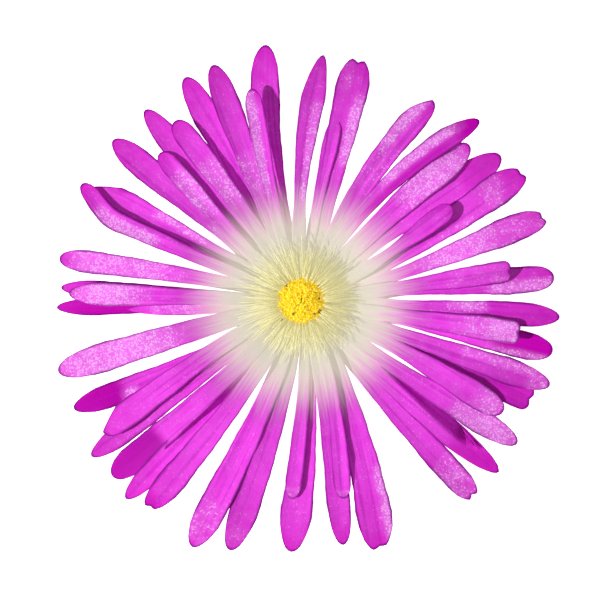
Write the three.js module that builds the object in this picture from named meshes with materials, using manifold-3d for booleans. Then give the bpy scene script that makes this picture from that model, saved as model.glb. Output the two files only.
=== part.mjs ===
// An ice plant bloom, picked just under its calyx and lying face up.
// Millimetres, +Z up. The origin is the middle of the flat break under the flower's foot, and +Z runs
// up the flower's axis. Azimuths are in degrees, anticlockwise from +X as seen from above.
import * as THREE from "three";
import Module from "manifold-3d";
import { mergeVertices } from "three/addons/utils/BufferGeometryUtils.js";

const wasm = await Module();
wasm.setup();

// Driving dimensions
const SEAT_GAP = 0.3;

const FOOT_RADIUS = 1.7;
const OVARY_TOP = 6.0;
const OVARY_SIDES = 28;
// The ovary's outline from its foot up, as [radius, height].
const OVARY_OUTLINE = [
  [FOOT_RADIUS, 0], [1.55, 0.9], [2.0, 1.9], [3.0, 3.1], [3.6, 4.4], [3.9, 5.6], [3.8, OVARY_TOP],
];

const PETAL_THICKNESS = 0.6;
const PETAL_ROWS = 5;
const PETAL_COLUMNS = 4;
const PETAL_ROOT_RADIUS = 3.4;
const PETAL_ROOT_HEIGHT = 7.0;
const CLAW_RADIUS = 10;
const LEVEL_STEP = 1.0;
const LEVEL_STEP_AT_ROOT = 0.75;
const LEVELS_OPEN_BY = 8;
const ARCH_HEIGHT = 0.9;
const ARCH_LENGTH = 22;
const CHANNEL_DEPTH = 0.16;
const LEAN_SLOPE = 0.085;
const LEAN_AZIMUTH = 16;
const CLAW_POWER = 0.55;
const WAIST = 0.7;
const WAIST_RADII = [7, 11];
const WIDEST_SHARE = 0.82;
const ROLL_SLOPE = 0.09;
const CURL_START = 0.4;
const HOOK_LENGTH = 5;

const TUBE_INNER_RADIUS = 2.9;
const TUBE_OUTER_RADIUS = 3.9;
const TUBE_TOP = 9.3;

const STAMINODE_RING = [2.0, 2.6];
const STAMINODE_RING_TOP = 8.1;
const STAMINODE_SIDES = 3;
const STAMINODES_PER_WHORL = 22;
const STAMINODE_WHORLS = [
  { root: 2.1, path: [[2.15, 9.3], [2.9, 10.9], [3.9, 11.8]] },
  { root: 2.3, path: [[2.4, 9.4], [3.3, 10.9], [4.9, 11.5]] },
  { root: 2.5, path: [[2.65, 9.5], [3.6, 10.7], [5.9, 11.1]] },
];
const STAMINODE_ROOT_WIDTH = 0.3;
const STAMINODE_TIP_WIDTH = 0.28;
const STAMINODE_SWAY = 3;
const STAMINODE_UNEVENNESS = 0.07;

const STAMEN_RING = [1.0, 1.7];
const STAMEN_RING_TOP = 7.0;
const STAMEN_COUNT = 36;
const FILAMENT_WIDTH = 0.26;
const FILAMENT_SIDES = 3;
const ANTHER_LENGTH = 0.95;
const ANTHER_WIDTH = 0.56;
const CUSHION_RADIUS = 1.95;
const CUSHION_TOP = 10.9;
const CUSHION_FALL = 1.1;
const CUSHION_UNEVENNESS = 0.25;
const ANTHER_TILT = 0.9;
const ROOT_DEPTH = 0.3;

const STIGMA_COUNT = 5;
const STIGMA_FOOT_RADIUS = 0.7;
const STIGMA_FOOT_TOP = 6.9;
// Each stigma's line from its foot to its tip, as [radius, height].
const STIGMA_LINE = [[0.38, 6.6], [0.4, 8.0], [0.62, 9.2]];
const STIGMA_ROOT_WIDTH = 0.42;
const STIGMA_TIP_WIDTH = 0.16;
const STIGMA_SIDES = 5;

const GOLDEN_ANGLE = Math.PI * (3 - Math.sqrt(5));

// How a petal ends, in shares of its length: taper is what rounds off along a curve of power fullness,
// nick how far the middle of the end is drawn back, slant how much shorter the anticlockwise side is, or
// the clockwise side if negative.
const TIPS = {
  round: { taper: 0.2, fullness: 2, nick: 0, slant: 0 },
  blunt: { taper: 0.14, fullness: 2.2, nick: 0, slant: 0 },
  square: { taper: 0.07, fullness: 3, nick: 0.012, slant: 0 },
  nicked: { taper: 0.15, fullness: 2.2, nick: 0.022, slant: 0 },
  lobed: { taper: 0.15, fullness: 2.2, nick: 0.022, slant: 0.035 },
  slanted: { taper: 0.16, fullness: 2.4, nick: 0, slant: 0.075 },
  skewed: { taper: 0.14, fullness: 2.4, nick: 0, slant: -0.1 },
  tapered: { taper: 0.3, fullness: 1.8, nick: 0, slant: 0 },
  oval: { taper: 0.4, fullness: 2, nick: 0, slant: 0 },
  pointed: { taper: 0.42, fullness: 1.6, nick: 0, slant: 0 },
};

// Each petal: azimuth of its claw 10 mm out, azimuth of its tip, reach from the axis, greatest width and
// level in the stack of whorls (0 is the lowest). Where they differ from the usual, these follow: how it
// ends, the bow that bends it sideways, how far its end curls up, or down if negative, its waist, and how
// many degrees its last few millimetres swing anticlockwise. A higher waist makes a narrower claw.
const PETALS = [
  [6.0, 5.4, 25.3, 2.75, 0, "blunt", 0.4, 0, 1.4],
  [8.0, 8.2, 21.0, 2.2, 1.5, "square", 0.4, 0, 1.1],
  [15.6, 19.2, 25.8, 2.8, 1, "lobed", 0.8, 0, 1.2],
  [25.0, 30.3, 25.7, 3.2, 1, "lobed", 0.6, 0, 0.9],
  [28.9, 32.2, 17.6, 2.0, 2.1, "blunt", 0.4, 0, 2.0],
  [38.4, 36.2, 24.6, 3.1, 0.65, "round", 0.4, -0.6, 1.0],
  [45.0, 43.0, 22.8, 3.0, 1, "round", 0.0],
  [56.3, 45.5, 25.2, 2.3, 1.35, "round", -0.1],
  [63.4, 57.0, 23.9, 2.6, 1, "slanted", -0.1, 0, 0.5],
  [76.6, 76.8, 25.0, 3.3, 0.35, "nicked", 0.4, 0, 0.75],
  [81.0, 79.4, 18.5, 1.6, 0.45, "blunt", 0.4, 0, 1.1],
  [91.2, 85.0, 24.7, 2.6, 1, "tapered", 0.0, 0, 1.2],
  [103.1, 98.0, 26.0, 3.0, 0, "round", -0.5],
  [106.4, 103.4, 21.8, 1.85, 1.5, "blunt"],
  [111.2, 110.7, 25.3, 2.7, 1],
  [116.2, 117.6, 25.4, 2.8, 0],
  [123.2, 125.3, 22.1, 2.4, 0.8, "blunt"],
  [129.5, 129.4, 24.9, 2.5, 0.15],
  [136.2, 133.9, 20.6, 2.0, 0.65, "blunt"],
  [139.5, 139.6, 25.0, 2.8, 0.5, "round", 0.4, 0, 1.1],
  [150.0, 151.0, 23.8, 2.4, 0.75, "skewed", 0.4, 0, 1.0],
  [152.6, 153.8, 22.5, 2.0, 0],
  [157.3, 156.7, 25.1, 2.0, 1.5, "blunt", 0.4, 0, WAIST, -4.3],
  [167.2, 170.0, 24.8, 2.3, 1, "blunt"],
  [176.4, 176.8, 24.3, 1.8, 1],
  [178.0, 178.1, 23.4, 2.3, 2],
  [181.8, 181.5, 24.8, 1.8, 0],
  [184.4, 182.8, 17.6, 1.5, 0.25, "pointed"],
  [194.9, 196.1, 25.6, 3.0, 1, "round", 0.4, 0, 0.5],
  [209.6, 205.2, 25.4, 2.5, 0, "round", 0.2, 1.5],
  [209.4, 213.3, 24.0, 2.7, 1.3, "skewed", 0.6],
  [216.4, 216.4, 26.4, 2.3, 0.8],
  [225.2, 222.8, 26.2, 2.8, 2.1, "blunt", 0.4, -3.2],
  [230.6, 228.3, 26.7, 2.3, 1],
  [237.0, 233.5, 26.1, 2.8, 2, "lobed"],
  [249.9, 245.9, 27.1, 3.1, 1.3],
  [258.0, 253.8, 26.1, 2.9, 1],
  [272.7, 267.5, 25.3, 3.2, 0],
  [270.3, 267.0, 19.9, 1.7, 0.55, "blunt"],
  [282.8, 279.6, 24.8, 2.4, 1],
  [287.6, 281.9, 20.2, 1.8, 1.2, "blunt"],
  [295.0, 287.5, 26.3, 3.55, 0.65, "lobed", 0.4, 0, 0.8],
  [309.9, 311.3, 26.3, 2.65, 0, "nicked", 0.4, 0, 0.7],
  [317.0, 319.0, 26.1, 2.95, 0.35, "oval"],
  [324.3, 326.5, 25.8, 2.6, 0.6, "round", 0.4, 0, 0.95],
  [334.0, 331.1, 22.9, 2.6, 0.9, "blunt", 0.4, 0, 1.05],
  [338.8, 336.6, 25.0, 2.8, 0.45, "square"],
  [341.4, 341.2, 26.1, 2.7, 1, "round", 0.4, 0, 1.0],
  [349.8, 348.6, 25.5, 2.75, 0.7, "blunt", 0.4, 0, 1.15],
  [351.2, 351.6, 21.9, 2.4, 1.6, "square", 0.4, 0.5, 1.0],
  [357.2, 356.4, 25.7, 2.5, 1.3, "round", 0.4, 0, 1.05],
  [356.4, 356.2, 18.3, 1.5, 0.3],
];
// Petals whose blade twists towards its tip, by their place in the list from 1: how much higher the
// anticlockwise edge lies there, as a slope.
const TWISTS = { 2: 1.2, 5: 0.15 };

// Each sepal: azimuth, reach from the axis, width and thickness.
const SEPALS = [
  [44, 8.3, 2.7, 1.5],
  [117, 7.5, 3.1, 1.3],
  [196, 8.4, 2.6, 1.5],
  [253, 7.4, 3.1, 1.3],
  [335, 7.9, 3.0, 1.3],
];
const SEPAL_SIDES = 8;
const SEPAL_STATIONS = 5;
const SEPAL_ROOT_RADIUS = 2.6;
const SEPAL_ROOT_HEIGHT = 4.3;
const SEPAL_TIP_HEIGHT = 5.9;
const SEPAL_NARROWING = 0.45;
const SEPAL_THINNING = 0.3;

// Solids

function solidOf(geometry) {
  const bare = geometry.clone();
  bare.deleteAttribute("normal");
  bare.deleteAttribute("uv");
  const merged = mergeVertices(bare, 1e-4);
  return new wasm.Manifold(
    new wasm.Mesh({
      numProp: 3,
      vertProperties: new Float32Array(merged.attributes.position.array),
      triVerts: new Uint32Array(merged.index.array),
    }),
  );
}

function geometryOf(solid) {
  const mesh = solid.getMesh();
  const geometry = new THREE.BufferGeometry();
  geometry.setAttribute("position", new THREE.BufferAttribute(mesh.vertProperties, 3));
  geometry.setIndex(new THREE.BufferAttribute(mesh.triVerts, 1));
  geometry.computeVertexNormals();
  return geometry;
}

function indexedSolid(points, triangles) {
  const geometry = new THREE.BufferGeometry().setFromPoints(points);
  geometry.setIndex(triangles.flat());
  return solidOf(geometry);
}

function joined(solids) {
  return solids.reduce((whole, next) => whole.add(next));
}

// A closed ring or plug turned about the flower's axis from [radius, height] pairs.
function turned(profile, sides) {
  const outline = profile.map(([radius, height]) => new THREE.Vector2(radius, height));
  return solidOf(new THREE.LatheGeometry(outline, sides).rotateX(Math.PI / 2));
}

function ringSolid([inner, outer], bottom, top, sides) {
  return turned(
    [[inner, bottom], [outer, bottom], [outer, top], [inner, top], [inner, bottom]],
    sides,
  );
}

// A blade of even thickness: pointAt(along, across) gives its middle surface, along 0 to 1, across -1 to 1.
// Both faces are split along the same diagonals.
function bladeSolid(pointAt, rows, columns, thickness) {
  const points = [];
  const triangles = [];
  const half = thickness / 2;
  for (const side of [half, -half]) {
    for (let row = 0; row <= rows; row++) {
      for (let column = 0; column <= columns; column++) {
        const point = pointAt(row / rows, (2 * column) / columns - 1);
        points.push(point.setZ(point.z + side));
      }
    }
  }
  const line = columns + 1;
  const under = line * (rows + 1);
  const at = (row, column) => row * line + column;
  for (let row = 0; row < rows; row++) {
    for (let column = 0; column < columns; column++) {
      const [a, b] = [at(row, column), at(row + 1, column)];
      const [c, d] = [at(row + 1, column + 1), at(row, column + 1)];
      triangles.push([a, b, c], [a, c, d]);
      triangles.push([under + a, under + c, under + b], [under + a, under + d, under + c]);
    }
  }
  const rim = [];
  for (let row = 0; row < rows; row++) rim.push(at(row, 0));
  for (let column = 0; column < columns; column++) rim.push(at(rows, column));
  for (let row = rows; row > 0; row--) rim.push(at(row, columns));
  for (let column = columns; column > 0; column--) rim.push(at(0, column));
  rim.forEach((from, i) => {
    const to = rim[(i + 1) % rim.length];
    triangles.push([from, under + from, to], [to, under + from, under + to]);
  });
  return indexedSolid(points, triangles);
}

// A tapering limb with flat ends through a list of stations, each an ellipse about its centre. Sideways,
// upward and the way the limb runs form a right-handed frame.
function limbSolid(stations, sides) {
  const points = [];
  const triangles = [];
  stations.forEach(({ centre, halfWidth, halfDepth, sideways, upward }) => {
    for (let side = 0; side < sides; side++) {
      const turn = (2 * Math.PI * side) / sides;
      points.push(
        centre
          .clone()
          .addScaledVector(sideways, halfWidth * Math.cos(turn))
          .addScaledVector(upward, halfDepth * Math.sin(turn)),
      );
    }
  });
  for (let station = 0; station < stations.length - 1; station++) {
    for (let side = 0; side < sides; side++) {
      const next = (side + 1) % sides;
      const [a, b] = [station * sides + side, station * sides + next];
      triangles.push([a, b, b + sides], [a, b + sides, a + sides]);
    }
  }
  const last = (stations.length - 1) * sides;
  for (let side = 1; side < sides - 1; side++) {
    triangles.push([0, side + 1, side], [last, last + side, last + side + 1]);
  }
  return indexedSolid(points, triangles);
}

// A round limb along a list of points.
function stalkSolid(path, rootWidth, tipWidth, sides) {
  const stations = path.map((centre, i) => {
    const before = path[Math.max(0, i - 1)];
    const after = path[Math.min(path.length - 1, i + 1)];
    const forward = after.clone().sub(before).normalize();
    const sideways = new THREE.Vector3(-centre.y, centre.x, 0).normalize();
    const upward = new THREE.Vector3().crossVectors(forward, sideways).normalize();
    const half = THREE.MathUtils.lerp(rootWidth, tipWidth, i / (path.length - 1)) / 2;
    return { centre, halfWidth: half, halfDepth: half, sideways, upward };
  });
  return limbSolid(stations, sides);
}

function polar(radius, azimuth, height) {
  return new THREE.Vector3(radius * Math.cos(azimuth), radius * Math.sin(azimuth), height);
}

// Petals

const radians = THREE.MathUtils.degToRad;

function petalAzimuth([claw, tip, reach, , , , bow = 0.4, , , hook = 0], radius) {
  const out = (radius - CLAW_RADIUS) / (reach - CLAW_RADIUS);
  const swing = hook * THREE.MathUtils.smoothstep(radius, reach - HOOK_LENGTH, reach);
  return radians(claw + (tip - claw) * (out + bow * out * (1 - out)) + swing);
}

// The height of a level's middle surface, which leans with the flower's face and arches on its way out.
function levelHeight(level, radius, azimuth) {
  const out = radius - PETAL_ROOT_RADIUS;
  const opened = Math.min(1, out / (LEVELS_OPEN_BY - PETAL_ROOT_RADIUS));
  const step = THREE.MathUtils.lerp(LEVEL_STEP_AT_ROOT, LEVEL_STEP, opened);
  const arch = ARCH_HEIGHT * Math.sin((Math.PI * out) / ARCH_LENGTH);
  const lean = LEAN_SLOPE * out * Math.cos(azimuth - radians(LEAN_AZIMUTH));
  return PETAL_ROOT_HEIGHT + level * step + arch + lean;
}

// Where a line along the petal ends, as a share of its length.
function petalEnd(tip, across) {
  const { taper, fullness, nick, slant } = TIPS[tip];
  const rounded = 1 - (1 - Math.abs(across) ** fullness) ** (1 / fullness);
  const notch = nick * Math.max(0, 1 - 2.5 * Math.abs(across));
  const shorterSide = Math.max(0, across * Math.sign(slant));
  return 1 - taper * rounded - notch - Math.abs(slant) * shorterSide * (1 - rounded);
}

function petalPoint(petal, index, along, across) {
  const [, , reach, width, level, tip = "round", , curl = 0, waist = WAIST] = petal;
  const spine = (radius) => polar(radius, petalAzimuth(petal, radius), 0);
  const radius = THREE.MathUtils.lerp(PETAL_ROOT_RADIUS, reach, along * petalEnd(tip, across));
  const centre = spine(radius);
  const forward = spine(radius + 0.1).sub(centre).normalize();
  const pastClaw = THREE.MathUtils.smoothstep(radius, ...WAIST_RADII);
  const power = THREE.MathUtils.lerp(CLAW_POWER, waist, pastClaw);
  const widening = Math.min(1, radius / reach / WIDEST_SHARE) ** power;
  const aside = (across * width * widening) / 2;
  const twist = (TWISTS[index + 1] ?? 0) * (radius / reach) ** 3;
  const roll = (ROLL_SLOPE * Math.sin(index * GOLDEN_ANGLE) + twist) * aside;
  const channel = CHANNEL_DEPTH * across ** 2 * widening;
  const curled = curl * Math.max(0, (radius / reach - CURL_START) / (1 - CURL_START)) ** 2;
  return new THREE.Vector3(
    centre.x - forward.y * aside,
    centre.y + forward.x * aside,
    levelHeight(level, radius, petalAzimuth(petal, radius)) + channel + roll + curled,
  );
}

function petalsSolid() {
  const tube = ringSolid(
    [TUBE_INNER_RADIUS, TUBE_OUTER_RADIUS],
    OVARY_TOP + SEAT_GAP,
    TUBE_TOP,
    OVARY_SIDES,
  );
  const blades = PETALS.map((petal, index) =>
    bladeSolid(
      (along, across) => petalPoint(petal, index, along, across),
      PETAL_ROWS,
      PETAL_COLUMNS,
      PETAL_THICKNESS,
    ),
  );
  return joined([tube, ...blades]);
}

// Calyx: the ovary on its broken foot, with five fleshy sepals

function sepalSolid([azimuth, reach, width, thickness]) {
  const direction = radians(azimuth);
  const outward = polar(1, direction, 0);
  const sideways = new THREE.Vector3(-outward.y, outward.x, 0);
  const stations = [];
  for (let i = 0; i <= SEPAL_STATIONS; i++) {
    const along = i / SEPAL_STATIONS;
    const radius = THREE.MathUtils.lerp(SEPAL_ROOT_RADIUS, reach, along);
    const rise = (SEPAL_TIP_HEIGHT - SEPAL_ROOT_HEIGHT) * Math.sin((along * Math.PI) / 2);
    const bluntness = Math.sqrt(1 - (0.96 * along) ** 5);
    stations.push({
      centre: polar(radius, direction, SEPAL_ROOT_HEIGHT + rise),
      halfWidth: (width / 2) * (1 - SEPAL_NARROWING * along) * bluntness,
      halfDepth: (thickness / 2) * (1 - SEPAL_THINNING * along) * bluntness,
      sideways,
      upward: new THREE.Vector3(0, 0, 1),
    });
  }
  return limbSolid(stations, SEPAL_SIDES);
}

function calyxSolid() {
  const ovary = turned([[0, 0], ...OVARY_OUTLINE, [0, OVARY_TOP]], OVARY_SIDES);
  return joined([ovary, ...SEPALS.map(sepalSolid)]);
}

// Staminodes: fine barren stamens in three whorls, arching out over the petals' claws

function staminodesSolid() {
  const ring = ringSolid(STAMINODE_RING, OVARY_TOP + SEAT_GAP, STAMINODE_RING_TOP, OVARY_SIDES);
  const threads = STAMINODE_WHORLS.flatMap(({ root, path }, whorl) =>
    Array.from({ length: STAMINODES_PER_WHORL }, (_, i) => {
      const share = whorl / STAMINODE_WHORLS.length;
      const azimuth = (2 * Math.PI * (i + share)) / STAMINODES_PER_WHORL;
      const sway = radians(STAMINODE_SWAY) * Math.sin(i * GOLDEN_ANGLE * 3);
      const reach = 1 + STAMINODE_UNEVENNESS * Math.sin(i * GOLDEN_ANGLE * 5 + whorl);
      const points = path.map(([radius, height], step) => {
        const along = step / (path.length - 1);
        const longer = THREE.MathUtils.lerp(1, reach, along);
        return polar(radius * longer, azimuth + sway * along, height);
      });
      const start = polar(root, azimuth, STAMINODE_RING_TOP - ROOT_DEPTH);
      return stalkSolid(
        [start, ...points],
        STAMINODE_ROOT_WIDTH,
        STAMINODE_TIP_WIDTH,
        STAMINODE_SIDES,
      );
    }),
  );
  return joined([ring, ...threads]);
}

// Stamens: anthers crowded into a low cushion, each on its filament

function stamenSolid(index) {
  const share = (index + 0.5) / STAMEN_COUNT;
  const azimuth = index * GOLDEN_ANGLE;
  const radius = CUSHION_RADIUS * Math.sqrt(share);
  const unevenness = CUSHION_UNEVENNESS * Math.sin(index * 2.1);
  const head = polar(radius, azimuth, CUSHION_TOP - CUSHION_FALL * share + unevenness);
  const [inner, outer] = STAMEN_RING;
  const rootRadius = THREE.MathUtils.lerp(inner + FILAMENT_WIDTH / 2, outer - FILAMENT_WIDTH / 2, share);
  const root = polar(rootRadius, azimuth, STAMEN_RING_TOP - ROOT_DEPTH);
  const filament = stalkSolid([root, head], FILAMENT_WIDTH, FILAMENT_WIDTH, FILAMENT_SIDES);
  const anther = new THREE.IcosahedronGeometry(0.5, 0)
    .scale(ANTHER_WIDTH, ANTHER_WIDTH, ANTHER_LENGTH)
    .rotateX(ANTHER_TILT * Math.sin(index * 1.7))
    .rotateY(ANTHER_TILT * Math.cos(index * 2.3))
    .translate(head.x, head.y, head.z);
  return filament.add(solidOf(anther));
}

function stamensSolid() {
  const ring = ringSolid(STAMEN_RING, OVARY_TOP + SEAT_GAP, STAMEN_RING_TOP, OVARY_SIDES);
  return joined([ring, ...Array.from({ length: STAMEN_COUNT }, (_, i) => stamenSolid(i))]);
}

// Stigmas: five awl-shaped stigmas in the middle, on their own foot

function stigmasSolid() {
  const bottom = OVARY_TOP + SEAT_GAP;
  const outline = [[STIGMA_FOOT_RADIUS, bottom], [STIGMA_FOOT_RADIUS, STIGMA_FOOT_TOP]];
  const foot = turned([[0, bottom], ...outline, [0, STIGMA_FOOT_TOP]], OVARY_SIDES);
  const awls = Array.from({ length: STIGMA_COUNT }, (_, i) => {
    const azimuth = (2 * Math.PI * i) / STIGMA_COUNT;
    const line = STIGMA_LINE.map(([radius, height]) => polar(radius, azimuth, height));
    return stalkSolid(line, STIGMA_ROOT_WIDTH, STIGMA_TIP_WIDTH, STIGMA_SIDES);
  });
  return joined([foot, ...awls]);
}

// The bloom

function piece(name, solid, colour, roughness) {
  const material = new THREE.MeshStandardMaterial({ color: colour, roughness, metalness: 0 });
  const mesh = new THREE.Mesh(geometryOf(solid), material);
  mesh.name = name;
  return mesh;
}

const bloom = new THREE.Group();
bloom.add(
  piece("calyx", calyxSolid(), 0x6f9a46, 0.55),
  piece("petals", petalsSolid(), 0xe043dc, 0.5),
  piece("staminodes", staminodesSolid(), 0xe9e4c4, 0.6),
  piece("stamens", stamensSolid(), 0xf5cf2a, 0.7),
  piece("stigmas", stigmasSolid(), 0xb9c46a, 0.6),
);

export default bloom;
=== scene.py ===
from typing import NamedTuple

import bpy
import numpy as np
from bpy.props import FloatProperty, FloatVectorProperty, IntProperty, PointerProperty
from mathutils import Matrix, Vector


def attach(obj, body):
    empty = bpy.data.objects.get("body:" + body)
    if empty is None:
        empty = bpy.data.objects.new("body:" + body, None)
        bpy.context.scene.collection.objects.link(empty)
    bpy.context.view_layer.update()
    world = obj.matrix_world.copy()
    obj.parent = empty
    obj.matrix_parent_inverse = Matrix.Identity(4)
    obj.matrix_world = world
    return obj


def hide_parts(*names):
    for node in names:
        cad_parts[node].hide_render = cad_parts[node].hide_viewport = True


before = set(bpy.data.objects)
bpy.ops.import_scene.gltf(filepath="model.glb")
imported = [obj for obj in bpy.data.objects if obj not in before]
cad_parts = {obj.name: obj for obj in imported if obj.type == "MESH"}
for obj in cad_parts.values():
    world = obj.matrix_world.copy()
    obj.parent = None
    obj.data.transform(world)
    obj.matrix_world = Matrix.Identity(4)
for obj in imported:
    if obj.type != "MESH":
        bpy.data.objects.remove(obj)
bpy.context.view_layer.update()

bl_info = {
    "name": "Ice Plant Flower",
    "version": (1, 0, 0),
    "blender": (4, 5, 0),
    "location": "3D View > Sidebar > Ice Plant",
    "description": "Dresses a picked ice plant flower head: petals, threads, anthers, stigmas and calyx",
    "category": "Add Mesh",
}

MM = 0.001
GOLDEN_ANGLE = np.pi * (3 - np.sqrt(5))


def paint(red, green, blue):
    """A colour given as 0 to 255 per channel, as Blender's linear values."""
    shares = np.array([red, green, blue]) / 255
    linear = np.where(shares <= 0.04045, shares / 12.92, ((shares + 0.055) / 1.055) ** 2.4)
    return tuple(float(value) for value in linear)


# Sizes shared with the solids, in millimetres and degrees

PETAL_ROOT_RADIUS = 3.4
PETAL_ROOT_HEIGHT = 7.0
CLAW_RADIUS = 10
LEVEL_STEP = 1.0
LEVEL_STEP_AT_ROOT = 0.75
LEVELS_OPEN_BY = 8
ARCH_HEIGHT = 0.9
ARCH_LENGTH = 22
CHANNEL_DEPTH = 0.16
LEAN_SLOPE = 0.085
LEAN_AZIMUTH = 16
WIDENING_POWER = 0.7
CLAW_POWER = 0.55
WIDEST_SHARE = 0.82
ROLL_SLOPE = 0.09
CURL_START = 0.4
HOOK_LENGTH = 5

TUBE_OUTLINE = [
    (2.9, 6.1), (3.1, 6.02), (3.6, 6.02), (3.85, 6.15), (3.9, 7.5), (3.8, 8.9), (3.55, 9.25),
    (3.2, 9.25), (2.95, 8.9), (2.9, 7.5),
]
STAMINODE_RING_OUTLINE = [(2.0, 6.1), (2.6, 6.1), (2.6, 7.9), (2.3, 8.1), (2.0, 7.9)]
STAMEN_RING_OUTLINE = [(1.0, 6.1), (1.7, 6.1), (1.7, 6.8), (1.35, 7.0), (1.0, 6.8)]
STIGMA_FOOT_OUTLINE = [(0, 6.1), (0.7, 6.1), (0.7, 6.7), (0.4, 6.9), (0, 6.95)]
OVARY_OUTLINE = [
    (0, 0.1), (0.9, 0.06), (1.45, 0), (1.68, 0.08), (1.6, 0.5), (1.55, 0.9), (1.7, 1.4), (2.0, 1.9),
    (2.5, 2.5), (3.0, 3.1), (3.35, 3.7), (3.6, 4.4), (3.8, 5.0), (3.88, 5.6), (3.75, 5.95), (3.3, 6.0),
    (0, 6.0),
]


class Tip(NamedTuple):
    """How a petal ends, in shares of its length."""

    taper: float
    fullness: float
    nick: float = 0
    slant: float = 0


TIPS = {
    "round": Tip(0.2, 2),
    "blunt": Tip(0.14, 2.2),
    "square": Tip(0.07, 3.0, nick=0.012),
    "nicked": Tip(0.15, 2.2, nick=0.022),
    "lobed": Tip(0.15, 2.2, nick=0.022, slant=0.035),
    "slanted": Tip(0.16, 2.4, slant=0.075),
    "skewed": Tip(0.14, 2.4, slant=-0.1),
    "tapered": Tip(0.3, 1.8),
    "oval": Tip(0.4, 2),
    "pointed": Tip(0.42, 1.6),
}


class Petal(NamedTuple):
    """One strap petal: where its claw and tip point, its size, its level in the stack and its bends.

    A higher waist makes a narrower claw. Bow and curl bend it sideways and upwards, and hook turns its last
    stretch aside, in degrees."""

    claw: float
    tip_azimuth: float
    reach: float
    width: float
    level: float
    tip: str = "round"
    bow: float = 0.4
    curl: float = 0
    waist: float = WIDENING_POWER
    hook: float = 0


PETALS = [
    Petal(6.0, 5.4, 25.3, 2.75, 0, "blunt", waist=1.4),
    Petal(8.0, 8.2, 21.0, 2.2, 1.5, "square", waist=1.1),
    Petal(15.6, 19.2, 25.8, 2.8, 1, "lobed", 0.8, waist=1.2),
    Petal(25.0, 30.3, 25.7, 3.2, 1, "lobed", 0.6, waist=0.9),
    Petal(28.9, 32.2, 17.6, 2.0, 2.1, "blunt", waist=2.0),
    Petal(38.4, 36.2, 24.6, 3.1, 0.65, "round", 0.4, -0.6, waist=1.0),
    Petal(45.0, 43.0, 22.8, 3.0, 1, "round", 0.0),
    Petal(56.3, 45.5, 25.2, 2.3, 1.35, "round", -0.1),
    Petal(63.4, 57.0, 23.9, 2.6, 1, "slanted", -0.1, waist=0.5),
    Petal(76.6, 76.8, 25.0, 3.3, 0.35, "nicked", waist=0.75),
    Petal(81.0, 79.4, 18.5, 1.6, 0.45, "blunt", waist=1.1),
    Petal(91.2, 85.0, 24.7, 2.6, 1, "tapered", 0.0, waist=1.2),
    Petal(103.1, 98.0, 26.0, 3.0, 0, bow=-0.5),
    Petal(106.4, 103.4, 21.8, 1.85, 1.5, "blunt"),
    Petal(111.2, 110.7, 25.3, 2.7, 1),
    Petal(116.2, 117.6, 25.4, 2.8, 0),
    Petal(123.2, 125.3, 22.1, 2.4, 0.8, "blunt"),
    Petal(129.5, 129.4, 24.9, 2.5, 0.15),
    Petal(136.2, 133.9, 20.6, 2.0, 0.65, "blunt"),
    Petal(139.5, 139.6, 25.0, 2.8, 0.5, waist=1.1),
    Petal(150.0, 151.0, 23.8, 2.4, 0.75, "skewed", waist=1.0),
    Petal(152.6, 153.8, 22.5, 2.0, 0),
    Petal(157.3, 156.7, 25.1, 2.0, 1.5, "blunt", hook=-4.3),
    Petal(167.2, 170.0, 24.8, 2.3, 1, "blunt"),
    Petal(176.4, 176.8, 24.3, 1.8, 1),
    Petal(178.0, 178.1, 23.4, 2.3, 2),
    Petal(181.8, 181.5, 24.8, 1.8, 0),
    Petal(184.4, 182.8, 17.6, 1.5, 0.25, "pointed"),
    Petal(194.9, 196.1, 25.6, 3.0, 1, waist=0.5),
    Petal(209.6, 205.2, 25.4, 2.5, 0, "round", 0.2, 1.5),
    Petal(209.4, 213.3, 24.0, 2.7, 1.3, "skewed", 0.6),
    Petal(216.4, 216.4, 26.4, 2.3, 0.8),
    Petal(225.2, 222.8, 26.2, 2.8, 2.1, "blunt", 0.4, -3.2),
    Petal(230.6, 228.3, 26.7, 2.3, 1),
    Petal(237.0, 233.5, 26.1, 2.8, 2, "lobed"),
    Petal(249.9, 245.9, 27.1, 3.1, 1.3),
    Petal(258.0, 253.8, 26.1, 2.9, 1),
    Petal(272.7, 267.5, 25.3, 3.2, 0),
    Petal(270.3, 267.0, 19.9, 1.7, 0.55, "blunt"),
    Petal(282.8, 279.6, 24.8, 2.4, 1),
    Petal(287.6, 281.9, 20.2, 1.8, 1.2, "blunt"),
    Petal(295.0, 287.5, 26.3, 3.55, 0.65, "lobed", waist=0.8),
    Petal(309.9, 311.3, 26.3, 2.65, 0, "nicked", waist=0.7),
    Petal(317.0, 319.0, 26.1, 2.95, 0.35, "oval"),
    Petal(324.3, 326.5, 25.8, 2.6, 0.6, waist=0.95),
    Petal(334.0, 331.1, 22.9, 2.6, 0.9, "blunt", waist=1.05),
    Petal(338.8, 336.6, 25.0, 2.8, 0.45, "square"),
    Petal(341.4, 341.2, 26.1, 2.7, 1, waist=1.0),
    Petal(349.8, 348.6, 25.5, 2.75, 0.7, "blunt", waist=1.15),
    Petal(351.2, 351.6, 21.9, 2.4, 1.6, "square", curl=0.5, waist=1.0),
    Petal(357.2, 356.4, 25.7, 2.5, 1.3, waist=1.05),
    Petal(356.4, 356.2, 18.3, 1.5, 0.3),
]


class Patch(NamedTuple):
    """A patch of a petal's finish: from one radius to another, how strong, and on which side.

    Side is 1 for the petal's anticlockwise half, -1 for the other and 0 for its whole width. Fade is the
    length over which the patch begins and ends, and edge is how far out on its side it begins."""

    start: float
    end: float
    strength: float
    side: int = 0
    fade: float = 2.6
    edge: float = 0


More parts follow.
